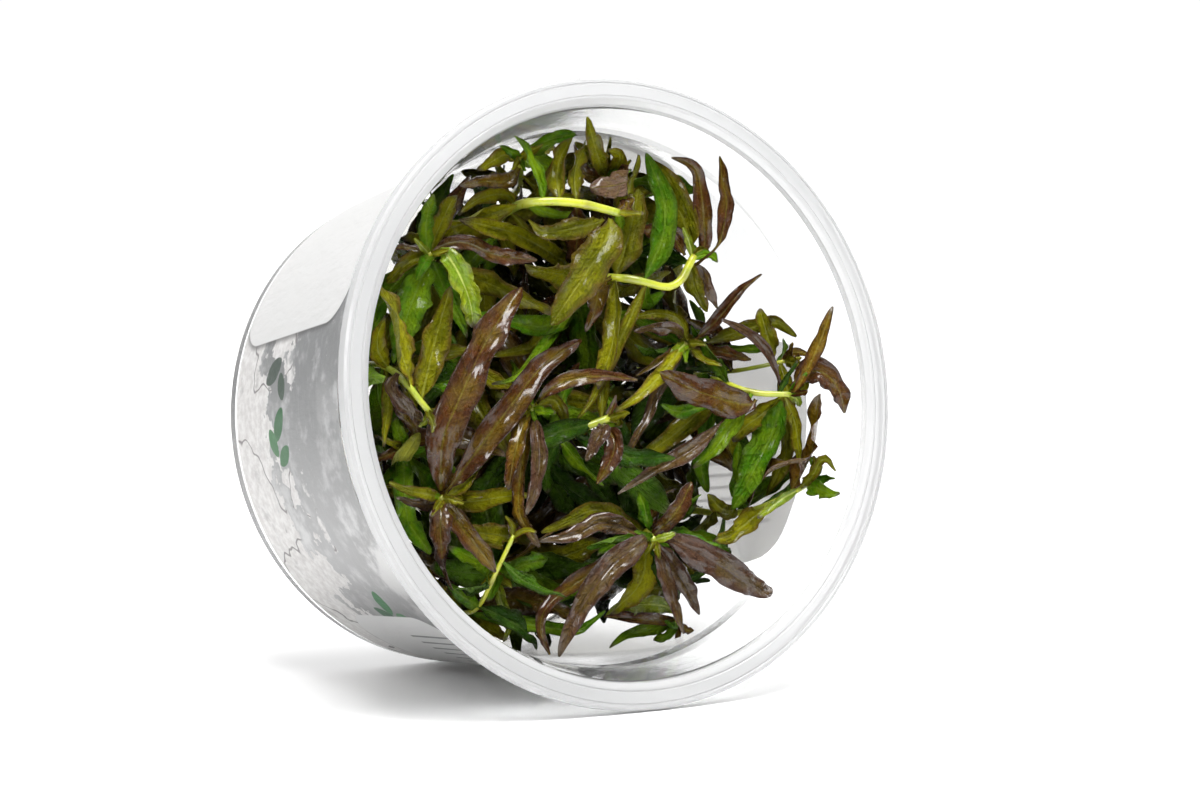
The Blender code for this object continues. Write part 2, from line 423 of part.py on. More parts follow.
def make_jelly():
    floor = HEIGHT - WALL - JELLY_GAP
    profile = [
        (JELLY_DEPTH, 0.0),
        (JELLY_DEPTH, room(JELLY_DEPTH) - JELLY_GAP),
        (floor - 1.4, room(floor) - JELLY_GAP),
        (floor, room(floor) - JELLY_GAP - 1.4),
        (floor, 0.0),
    ]
    finish = material("jelly", (0.75, 0.72, 0.6), 0.2, 0.8)
    return object_from("jelly", turned_mesh("jelly", profile, JELLY_SIDES), finish)


def make_label(name, first, last):
    """A strip of the wall's own sides, one label thickness deep, with cut corners."""
    shape = bmesh.new()
    corner = 1 / math.cos(math.pi / SIDES)
    rings = []
    for index in range(first, last + 1):
        angle = -math.pi / 2 + math.pi / SIDES + index * 2 * math.pi / SIDES
        spoke = (MOUTH_X * math.cos(angle) + MOUTH_Y * math.sin(angle)) * corner
        from_end = min(index - first, last - index)
        cut = LABEL_CORNERS[from_end] if from_end < len(LABEL_CORNERS) else 0.0
        ring = []
        for depth, lift in (
            (LABEL_FRONT_DEPTH + cut, 0.0),
            (LABEL_FRONT_DEPTH + cut, LABEL_THICKNESS),
            (LABEL_BACK_DEPTH - cut, LABEL_THICKNESS),
            (LABEL_BACK_DEPTH - cut, 0.0),
        ):
            radius = wall_radius(depth) + LABEL_GAP + lift
            ring.append(shape.verts.new(CENTRE - AXIS_OUT * depth + spoke * radius))
        rings.append(ring)
    close_rings(shape, rings)
    mesh = bpy.data.meshes.new(name)
    shape.to_mesh(mesh)
    shape.free()
    return object_from(name, mesh, material(name, (0.8, 0.79, 0.77), 0.5))


def close_rings(shape, rings):
    """Joins rings, each anticlockwise about the way they run, into one closed body.

    The diagonals mirror each other, so the two faces of a thin blade stay apart.
    """
    count = len(rings[0])
    shape.faces.new(rings[0][::-1])
    for ring, after in zip(rings, rings[1:]):
        for i in range(count):
            j = (i + 1) % count
            if i % 2 == 0:
                shape.faces.new((ring[i], ring[j], after[j]))
                shape.faces.new((ring[i], after[j], after[i]))
            else:
                shape.faces.new((ring[i], ring[j], after[i]))
                shape.faces.new((ring[j], after[j], after[i]))
    shape.faces.new(rings[-1])


def smooth(points, rounds=3):
    """Cuts the corners of a path and keeps its ends."""
    for _ in range(rounds):
        cut = [points[0]]
        for a, b in zip(points, points[1:]):
            cut += [a.lerp(b, 0.25), a.lerp(b, 0.75)]
        points = cut + [points[-1]]
    return points


def path_length(path):
    return sum((b - a).length for a, b in zip(path, path[1:]))


def along(path, share):
    """Point and direction at a share of the path's length."""
    left = share * path_length(path)
    for a, b in zip(path, path[1:]):
        step = (b - a).length
        if left <= step and step > 0:
            return a.lerp(b, left / step), (b - a).normalized()
        left -= step
    return path[-1].copy(), (path[-1] - path[-2]).normalized()


def reach(spot, first, second):
    """Cost of starting a leaf at a spot: its distance, and more where the leaf would bend back."""
    run = first - spot
    turn = run.angle(second - first, 0.0)
    return run.length * (1 + BEND_COST * (1 - math.cos(turn)))


def nearest_on(path, point):
    """Closest point of a path."""
    best = None
    for a, b in zip(path, path[1:]):
        run = b - a
        share = max(0.0, min(1.0, (point - a).dot(run) / run.length_squared)) if run.length else 0.0
        spot = a + run * share
        if best is None or (spot - point).length < (best - point).length:
            best = spot
    return best


def stem_path(points):
    """From the jelly, gathered towards the middle, up through the points."""
    spots = [seen(*p) for p in points]
    away = spots[0] - CENTRE
    root = CENTRE - AXIS_OUT * (JELLY_DEPTH - TOUCH)
    root += (MOUTH_X * away.dot(MOUTH_X) + MOUTH_Y * away.dot(MOUTH_Y)) * STEM_SPREAD
    curve = smooth([root] + spots)
    count = max(3, round(path_length(curve) / STEM_STEP))
    return [along(curve, i / count)[0] for i in range(count + 1)]


def tube_rings(path, radius, sides):
    """Corner points round a path, kept from twisting; the foot is square to the cup's axis."""
    count = len(path) - 1
    rings = []
    side = None
    for i, spot in enumerate(path):
        way = (path[min(i + 1, count)] - path[max(i - 1, 0)]).normalized()
        if i == 0:
            way = AXIS_OUT
        if side is None:
            side = way.orthogonal().normalized()
        side = (side - way * side.dot(way)).normalized()
        wide = radius * (1 - (1 - STEM_TAPER) * i / count)
        other = way.cross(side)
        rings.append([
            spot + (side * math.cos(a) + other * math.sin(a)) * wide
            for a in (2 * math.pi * k / sides for k in range(sides))
        ])
    return rings


def blade_width(share, stalk):
    """Lance shape: 0 on the stalk, 1 at the widest place, 0 at the tip."""
    if share <= stalk:
        return 0.0
    part = (share - stalk) / (1 - stalk)
    return max(0.0, math.sin(math.pi * part ** WIDEST)) ** FULLNESS


def blade_rings(path, width, roll, stalk, stations, extra=0.0):
    """Four corners at each station: edge, upper midrib, edge, lower midrib."""
    rings = []
    side = None
    for share in stations:
        spot, way = along(path, share)
        facing = (CENTRE + TO_VIEWER * SIGHT_DISTANCE - spot).normalized()
        flat = way.cross(facing)
        if side is None or flat.length > 0.35:
            wanted = flat.normalized() if flat.length > 1e-6 else way.orthogonal().normalized()
            wanted = Quaternion(way, math.radians(roll)) @ wanted
            side = wanted if side is None or wanted.dot(side) > 0 else -wanted
        side = (side - way * side.dot(way)).normalized()
        normal = side.cross(way)
        half = max(STALK_WIDTH / 2, width / 2 * blade_width(share, stalk)) + extra
        thick = (LEAF_THICKNESS / 2 + extra) * (0.7 if share in (0.0, 1.0) else 1.0)
        lift = math.tan(math.radians(LEAF_FOLD)) * max(0.0, half - STALK_WIDTH / 2 - extra)
        if share == 1.0:
            half = STALK_WIDTH * 0.4 + extra
            lift = 0.0
        rings.append([
            spot - side * half + normal * lift,
            spot + normal * thick,
            spot + side * half + normal * lift,
            spot - normal * thick,
        ])
    return rings


def rings_mesh(name, rings):
    shape = bmesh.new()
    close_rings(shape, [[shape.verts.new(p) for p in ring] for ring in rings])
    mesh = bpy.data.meshes.new(name)
    shape.to_mesh(mesh)
    shape.free()
    return mesh


class Space:
    """What already fills the cup, for keeping new pieces clear of it."""

    def __init__(self):
        self.taken = []

    def solid(self, rings):
        count = len(rings[0])
        points = [p for ring in rings for p in ring]
        faces = [tuple(range(count)), tuple(range(len(points) - count, len(points)))]
        for row in range(len(rings) - 1):
            for i in range(count):
                a = row * count + i
                b = row * count + (i + 1) % count
                faces.append((a, a + count, b + count, b))
        low = Vector(map(min, zip(*points)))
        high = Vector(map(max, zip(*points)))
        return BVHTree.FromPolygons(points, faces), low, high

    def free(self, rings):
        tree, low, high = self.solid(rings)
        for other, other_low, other_high in self.taken:
            if any(low[i] > other_high[i] or high[i] < other_low[i] for i in range(3)):
                continue
            if tree.overlap(other):
                return False
        return True

    def take(self, rings):
        self.taken.append(self.solid(rings))


def inside_cup(rings):
    """Clear of the wall, the jelly and the plane of the mouth."""
    for point in (p for ring in rings for p in ring):
        depth, radius = depth_and_radius(point)
        if not MOUTH_CLEARANCE < depth < JELLY_DEPTH - 1.0:
            return False
        if radius > room(depth) - WALL_CLEARANCE:
            return False
    return True


def starts_on(stems):
    """Every place on the stems that a leaf may start at, as (stem, spot)."""
    shares = [i / START_STEPS for i in range(2, START_STEPS)]
    return [(name, along(path, share)[0]) for name, (radius, path) in stems.items() for share in shares]


def leaf_path(stems, starts, points, apart):
    """A path that starts at the nearest stem, a gap away from it for a leaf that is a piece of its own."""
    first, second = points[:2]
    name, spot = min(starts, key=lambda start: reach(start[1], first, second))
    radius, path = stems[name]
    kept = [p for p in points if (p - spot).length > 2.2]
    way = (kept[0] - spot).normalized()
    start = spot.copy()
    gap = radius * SHOULDER + TOUCH + LEAF_THICKNESS / 2
    while apart and (nearest_on(path, start) - start).length < gap:
        start += way * 0.1
    return name, smooth([start] + kept)


def fit_leaf(space, stems, starts, leaf):
    """Moves a leaf along the line of sight, or rolls it, until it is clear of what is there."""
    name, colour, width, roll, stalk, points = leaf
    deeper = [PUSH_STEP * i for i in range(int(PUSH_LIMIT / PUSH_STEP))]
    nearer = [-PUSH_STEP * i for i in range(1, int(PULL_LIMIT / PUSH_STEP))]
    for push in deeper + nearer:
        spots = [seen(u, v, depth + push) for u, v, depth in points]
        stem, path = leaf_path(stems, starts, spots, bool(name))
        beyond = min(0.4, HIDDEN_START / path_length(path))
        stations = [beyond] + [s for s in LEAF_STATIONS if s > beyond]
        for turn in ROLLS:
            grown = blade_rings(path, width, roll + turn, stalk, stations, CLEARANCE)
            if inside_cup(grown) and space.free(grown):
                space.take(grown)
                return stem, path, roll + turn
    return None


def cells_behind(rings):
    """Cells of a grid in the picture plane that a blade covers."""
    shares = [i / CELL_STEPS for i in range(CELL_STEPS + 1)]
    cells = set()
    for ring, after in zip(rings, rings[1:]):
        for down in shares:
            left = ring[0].lerp(after[0], down)
            right = ring[2].lerp(after[2], down)
            spots = [picture(left.lerp(right, over)) for over in shares]
            cells |= {(round(u / CELL), round(v / CELL)) for u, v in spots}
    return cells


def cells_of(single, fused):
    """Cells that the leaves of the list cover."""
    leaves = [entry for name, entry in single] + [entry for group in fused.values() for entry in group]
    cells = set()
    for path, width, roll, stalk, colour in leaves:
        cells |= cells_behind(blade_rings(path, width, roll, stalk, LEAF_STATIONS))
    return cells


def filler(chance, path):
    """A leaf low on a stem, where the front leaves hide it."""
    spot, way = along(path, chance.uniform(0.12, 0.75))
    out = Quaternion(way, chance.uniform(0, 2 * math.pi)) @ way.orthogonal().normalized()
    length = chance.uniform(*FILLER_LENGTH)
    width = chance.uniform(*FILLER_WIDTH)
    lean = chance.uniform(0.2, 0.9)
    middle = spot + (out + way * lean).normalized() * length * 0.55
    tip = middle + (out + way * (lean - 0.5)).normalized() * length * 0.45
    return smooth([spot, middle, tip]), width, chance.uniform(-60, 60)


def place_leaves(space, stems):
    """The leaves of the list: those with a name, and the rest by the stem that they are grown onto."""
    single, fused = [], {name: [] for name in stems}
    starts = starts_on(stems)
    for leaf in LEAVES:
        name, colour, width, roll, stalk, points = leaf
        found = fit_leaf(space, stems, starts, leaf)
        if found is None:
            continue
        stem, path, roll = found
        entry = (path, width, roll, stalk, colour)
        if name:
            single.append(("leaf_" + name, entry))
        else:
            fused[stem].append(entry)
    return single, fused


def place_fillers(space, stems, single, fused):
    """Larger leaves behind the others: first where they close gaps between them, then anywhere."""
    chance = random.Random(SEED)
    covered = cells_of(single, fused)
    made = 0
    for turn in range(FILLER_TRIES):
        if made == FILLERS:
            break
        stem = chance.choice(sorted(stems))
        path, width, roll = filler(chance, stems[stem][1])
        grown = blade_rings(path, width, roll, FILLER_STALK, FILLER_CHECKS, CLEARANCE)
        hidden = all(in_outline(point) for ring in grown for point in ring)
        if not (hidden and inside_cup(grown) and space.free(grown)):
            continue
        cells = cells_behind(grown)
        if turn > GAP_TRIES or len(cells - covered) >= FRESH_CELLS:
            space.take(grown)
            covered |= cells
            fused[stem].append((path, width, roll, FILLER_STALK, "shaded"))
            made += 1


def grow():
    """All stems as (radius, path), and leaves as (path, width, roll, stalk, colour)."""
    space = Space()
    stems = {name: (radius, stem_path(points)) for name, (radius, points) in STEMS.items()}
    for radius, path in stems.values():
        space.take(tube_rings(path, radius + CLEARANCE, STEM_SIDES))
    single, fused = place_leaves(space, stems)
    place_fillers(space, stems, single, fused)
    return stems, single, fused


def make_leaf(name, entry, finishes):
    path, width, roll, stalk, colour = entry
    rings = blade_rings(path, width, roll, stalk, LEAF_STATIONS)
    return object_from(name, rings_mesh(name, rings), finishes[colour])


def leaflet_rings(path, width, roll, stalk, stations):
    """A small leaf has three corners at each station: its edges and the midrib below."""
    rings = blade_rings(path, width, roll, stalk, stations)
    return [[ring[0], ring[2], ring[3]] for ring in rings]


def make_shoot(name, radius, path, leaves, finishes):
    """A stem with its smaller leaves grown onto it."""
    rings = tube_rings(path, radius, STEM_SIDES)
    stem = object_from(name, rings_mesh(name, rings), finishes["stem"])
    group = bpy.data.collections.new(name + "_leaves")
    for number, (leaf_way, width, roll, stalk, colour) in enumerate(leaves):
        stations = SHADED_STATIONS if colour == "shaded" else LEAFLET_STATIONS
        rings = leaflet_rings(leaf_way, width, roll, stalk, stations)
        leaf = object_from(f"{name}_leaf_{number}", rings_mesh(name, rings), finishes[colour])
        leaf.hide_render = True
        leaf.display_type = "WIRE"
        bpy.context.scene.collection.objects.unlink(leaf)
        group.objects.link(leaf)
    if leaves:
        bpy.context.scene.collection.children.link(group)
        join = stem.modifiers.new("grown_together", "BOOLEAN")
        join.operation = "UNION"
        join.solver = "MANIFOLD"
        join.operand_type = "COLLECTION"
        join.collection = group
    return stem


def main():
    clear_scene()
    make_cup()
    make_jelly()
    for name, (first, last) in WRAPS.items():
        make_label(name, first, last)
    finishes = {name: material("leaf_" + name, colour, 0.3) for name, colour in COLOURS.items()}
    finishes["stem"] = material("stem", COLOURS["lime"], 0.35)
    stems, single, fused = grow()
    for name, entry in single:
        make_leaf(name, entry, finishes)
    for name, (radius, path) in stems.items():
        make_shoot(name, radius, path, fused[name], finishes)


main()
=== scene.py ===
"""The looks of a clear cup on its side, packed with young shoots of an aquarium plant.

The stems and leaves grow here by the same rules as in the solid model, so each fine leaf lies
where its solid is. Lengths are worked out in millimetres and scaled to metres once.
"""

import itertools
import math
import random

import bmesh
import bpy
import numpy as np
from mathutils import Matrix, Quaternion, Vector, noise
from mathutils.bvhtree import BVHTree


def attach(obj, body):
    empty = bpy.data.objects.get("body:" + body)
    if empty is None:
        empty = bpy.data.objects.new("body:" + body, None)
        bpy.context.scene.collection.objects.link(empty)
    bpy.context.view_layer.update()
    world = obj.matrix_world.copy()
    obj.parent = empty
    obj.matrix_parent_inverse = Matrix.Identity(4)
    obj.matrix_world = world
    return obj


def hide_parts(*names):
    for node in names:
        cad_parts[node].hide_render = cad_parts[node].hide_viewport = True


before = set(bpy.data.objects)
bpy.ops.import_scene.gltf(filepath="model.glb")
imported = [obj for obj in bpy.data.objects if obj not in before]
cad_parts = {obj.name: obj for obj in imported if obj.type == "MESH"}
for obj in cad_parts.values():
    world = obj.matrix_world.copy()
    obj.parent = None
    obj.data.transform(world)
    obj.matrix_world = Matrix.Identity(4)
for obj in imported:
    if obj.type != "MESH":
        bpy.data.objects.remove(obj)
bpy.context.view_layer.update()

MM = 0.001

# Cup, in millimetres: depth is measured from the front of the flange
FLANGE_RADIUS = 54.0
FLANGE_PLATE = 1.1
FLANGE_SKIRT = 2.4
SKIRT_WIDTH = 1.0
MOUTH_RADIUS = 48.9
LEDGE_DEPTH = 11.3
LEDGE_RADIUS = 46.5
BASE_RADIUS = 43.15
HEIGHT = 66.0
WALL = 1.1
BASE_EDGE = 0.6

# Jelly that the shoots root in
JELLY_DEPTH = 58.2
JELLY_GAP = 0.4

# Turned pieces: steps round the axis, seam, depth of the pressed lines, and hold beside a corner
CUP_STEPS = 192
JELLY_STEPS = 128
SEAM = 0.005
GROOVE = 0.12
HOLD = 0.3

# Gaps: between pieces that touch, round a leaf or a stem, from the wall and from the mouth
TOUCH = 0.3
CLEARANCE = 0.16
WALL_CLEARANCE = 0.45
MOUTH_CLEARANCE = 0.5

# Plain stems: sides, length of a step, how far they spread from the jelly, and taper
STEM_SIDES = 4
STEM_STEP = 9.0
STEM_SPREAD = 0.8
STEM_TAPER = 0.75

# Plain blades: thickness, fold in degrees, stalk, curve of the width, and where they are cut
LEAF_THICKNESS = 0.55
LEAF_FOLD = 22.0
STALK_WIDTH = 0.75
WIDEST = 0.72
FULLNESS = 0.72
LEAF_STATIONS = (0.0, 0.12, 0.32, 0.55, 0.8, 1.0)
# A blade that points this nearly along the line of sight keeps its last side
END_ON = 0.35

# Starts of leaves on a stem: the first step and the number of steps
STARTS = (2, 40)
MORE_STARTS = (3, 24)
# Gap as a share of the stem, length inside it, shortest run to the next point, and cost of a bend
SHOULDER = 0.9
HIDDEN_START = 2.0
LEAST_RUN = 2.2
BEND_COST = 2.5

# Search for a free place: moves along the line of sight, and rolls in degrees
PUSH_STEP = 0.8
PUSH_LIMIT = 26.0
PULL_LIMIT = 9.0
ROLLS = (0.0, 18.0, -18.0, 36.0, -36.0)

# Larger leaves behind the ones that show: number, tries for gaps and in all, and their form
SEED = 7
FILLERS = 76
GAP_TRIES = 7000
FILLER_TRIES = 12000
FILLER_LENGTH = (15.0, 26.0)
FILLER_WIDTH = (4.5, 7.0)
FILLER_STALK = 0.05
FILLER_CHECKS = (0.12, 0.3, 0.5, 0.7, 0.85, 1.0)
# Cells of the picture plane in millimetres, and how many new ones such a leaf has to cover
CELL = 1.0
CELL_STEPS = 7
FRESH_CELLS = 14

# Sight on the picture plane through the middle of the mouth, from in front and to the left
SIGHT_DISTANCE = 700.0
SIGHT_AZIMUTH = math.radians(31.6)
SIGHT_HEIGHT = math.radians(5.41)

# Fine leaves: steps along a large and a little one, from the midrib to the edge, and thickness
FINE_STEPS = 26
LITTLE_STEPS = 18
HALF_STEPS = (0.14, 0.34, 0.56, 0.76, 0.9, 1.0)
ALL_STEPS = HALF_STEPS[::-1] + (0.0,) + HALF_STEPS
BLADE_THICK = 0.28
EDGE_THICK = 0.10
# Size of their dents, twist in degrees, window of their direction, and how fast they turn with it
DENT_SIZE = 2.6
FINE_TWIST = 24
LITTLE_TWIST = 80
LEAF_WINDOW = 0.03
TURN_EASE = 0.6
# Fine stems: sides, length of a step, from one joint to the next, and window of the direction
ROUND_SIDES = 14
ROUND_STEP = 1.1
JOINT_STEP = 11.0
STEM_WINDOW = 0.02
# Painted shade: how dark leaves get with their depth below the mouth
SHADE_DEPTHS = (6.0, 34.0)
DEEP_SHADE = 0.3

# Little leaves that close gaps: tries, share of a width that counts, depths and reach
MORE_SEED = 23
GAP_LEAF_TRIES = 18000
SLIM = 0.7
OVER_EDGE = 0.4
GAP_DEPTHS = (4.0, 40.0)
GAP_REACH = (5.0, 19.0)
# Left of this they fill the mouth to its edge
FULL_LEFT = -14.0
# Further little leaves: tries and length; all keep to this depth and this near to a larger leaf
LITTLE_TRIES = 4000
LITTLE_LENGTH = (8.0, 17.0)
MORE_DEPTH = 4.0
BESIDE = 6.5
# Tones of the leaves in shade, and of those towards the upper left; the dark tone in both is painted shade
SHADED_TONES = ("dark", "green", "dark", "olive", "dark", "green", "bronze", "olive", "bronze")
LEAFY_TONES = ("olive", "green", "olive", "dark", "bronze", "olive", "green", "olive")
GREEN_ABOVE = 5.0

# Young leaves at the end of each stem
TIP_LEAVES = 4
TIP_LENGTH = (4.0, 7.5)
TIP_TONES = ("green", "olive", "bronze", "olive", "lime")

# Label: a film just off the wall in two pieces, their ends counted in sides of the solid cup
SIDES = 48
WRAPS = {"label_wrap": (19, 47), "label_patch": (6, 13)}
LABEL_FRONT_DEPTH = 15.5
FILM_BACK_DEPTH = 62.0
FILM_THICKNESS = 0.12
LABEL_LIFT = 0.06
LABEL_CORNER = 6.0
LABEL_STEP = 1.5
LABEL_DEPTH_STEPS = 12

# Print, in millimetres round the wall at ARC_RADIUS from the right and in depth: middle, half size
ARC_RADIUS = 45.0
PANEL_END = 125.5
WHITE_PANELS = [((82.0, 40.0), (43.5, 22.5)), ((196.0, 38.0), (16.5, 17.0)), ((-12.0, 38.0), (23.0, 26.0))]
PANEL_CORNER = 7.0
RULED = [((196.0, 30.0), (12.0, 8.0)), ((-14.0, 36.0), (12.0, 15.0))]
# Printed leaves: middle, half size, turn in degrees and colour
PRINTED_LEAVES = [
    ((131.5, 45.0), (3.6, 2.0), 60, (0.05, 0.08, 0.06)),
    ((134.5, 41.0), (2.6, 1.6), -20, (0.05, 0.09, 0.06)),
    ((141.0, 42.5), (3.4, 1.8), 35, (0.03, 0.15, 0.05)),
    ((144.0, 45.5), (2.8, 1.6), -30, (0.05, 0.20, 0.07)),
    ((146.5, 41.5), (2.8, 1.5), 60, (0.04, 0.17, 0.06)),
    ((176.0, 33.0), (3.2, 1.8), 20, (0.04, 0.20, 0.07)),
    ((179.5, 36.0), (3.4, 1.7), -50, (0.03, 0.12, 0.05)),
    ((180.0, 31.0), (2.2, 1.5), 80, (0.06, 0.22, 0.08)),
]

# Studio light behind the cup and on the camera's side, and how far its bright side leans up
WORLD_LIGHT = 1.02
FRONT_LIGHT = 0.2
TOP_LIGHT = 0.8
# Sun from above: how far it leans to the right, strength and spread
SUN_LEAN = 0.3
SUN_STRENGTH = 1.8
SUN_SPREAD = math.radians(24)
# Softboxes and what they point at, in metres: name, way towards the camera and aside, size, watts
LIGHT_TARGET = Vector((0, 0, 0.05))
SOFTBOXES = [
    ("key_softbox", 0.42, (0.1, 0, 0.72), (0.42, 0.34), 8.0),
    ("side_softbox", 0.45, (-0.5, 0.1, 0.35), (0.12, 0.3), 1.2),
    ("back_softbox", -0.35, (0.5, 0.0, 0.3), (0.4, 0.4), 1.2),
]
FLOOR_SIZE = 6.0

# Camera: where the middle of the mouth lies in the 1200 x 800 picture, and its lens
PICTURE = (1200, 800)
MOUTH_PIXEL = (628, 392)
PIXELS_PER_MM = 5.886
SENSOR_MM = 36.0

# Line round the leaves in the picture plane, and gaps (left, right, low, high) that show the wall
OUTLINE = [
    (-43, -8), (-43, 8), (-39, 20), (-33, 31), (-24, 39), (-14, 43), (-5, 46), (4, 40), (12, 36),
    (13, 26), (9, 19), (16, 12), (24, 12), (29, 6), (33, -2), (33, -12), (28, -19), (20, -24),
    (16, -30), (8, -38), (-8, -40), (-14, -44), (-24, -40), (-32, -34), (-38, -24),
]
GAPS = [(18.5, 25, -2, 5), (13, 17, -20, -12.5), (20, 25, -29, -21.5)]

# Stems: radius, then points from the jelly up: across and up in the picture plane, and depth
STEMS = {
    "stem_lime": (1.05, [(-21, 30, 20), (-19.6, 32.2, 9), (-14, 32.7, 6), (-8, 32.4, 5), (-1.5, 30.4, 5)]),
    "stem_yellow": (0.95,
        [(-6, 20.3, 14), (0, 19.7, 9), (6, 17.8, 8), (9.4, 16.6, 9), (10.9, 20, 9), (11.2, 23.2, 8)]),
    "stem_right": (0.75,
        [(11, 3, 24), (17, 2, 12), (20.2, 0.1, 10), (23, -2, 9), (25.4, -2, 8), (27.8, -0.4, 7)]),
    "stem_right_fork": (0.55, [(15, 3.6, 27), (19.4, 3.5, 17), (23.5, 4.1, 14), (27, 5.3, 12)]),
    "stem_low_right": (0.8,
        [(12, -20, 30), (17.5, -21.2, 19), (21.2, -21.2, 14), (25, -18.6, 12), (31.3, -15.2, 10)]),
    "stem_centre": (0.95,
        [(-17, -9, 24), (-13.8, -8.6, 13), (-10, -7, 11), (-6, -5.5, 10), (-3.2, -4.4, 9)]),
    "stem_low_left": (0.7, [(-33, -20, 26), (-31.7, -18, 10)]),
    "stem_left": (0.75, [(-42.2, 5.6, 15), (-40.3, 4.1, 10), (-37.3, 2, 8), (-33.7, -3.5, 7)]),
    "stem_brown": (0.5, [(-25.2, -39, 15), (-24, -34, 11), (-21.6, -29, 9), (-19.4, -24.3, 8)]),
    "stem_whorl": (0.95, [(1, -22, 28), (3, -24, 14), (4.3, -25.2, 5.5)]),
    "stem_upper_left": (0.8, [(-33, 22, 26), (-33.7, 23.4, 9)]),
    "stem_top": (0.8, [(-18.4, 33.8, 30), (-18.2, 36.8, 17), (-18.4, 39.8, 10)]),
    "stem_upright": (0.75, [(-4, 33, 36), (-3.6, 36.4, 14)]),
    "stem_middle": (0.85, [(12, 6, 30), (9.8, 8.3, 12)]),
    "stem_middle_left": (0.85, [(-15, -2, 28), (-16.4, -3, 9)]),
    "stem_low": (0.8, [(7, -31, 34), (7.8, -35, 20), (8.4, -39.5, 16.5)]),
    "stem_low_middle": (0.8, [(-20, -27, 36), (-22.6, -31, 17)]),
    "stem_back_left": (0.8, [(-27, 5, 38), (-28.5, 5, 18)]),
    "stem_edge": (0.7, [(-36, -8, 34), (-38.4, -9.5, 15)]),
}
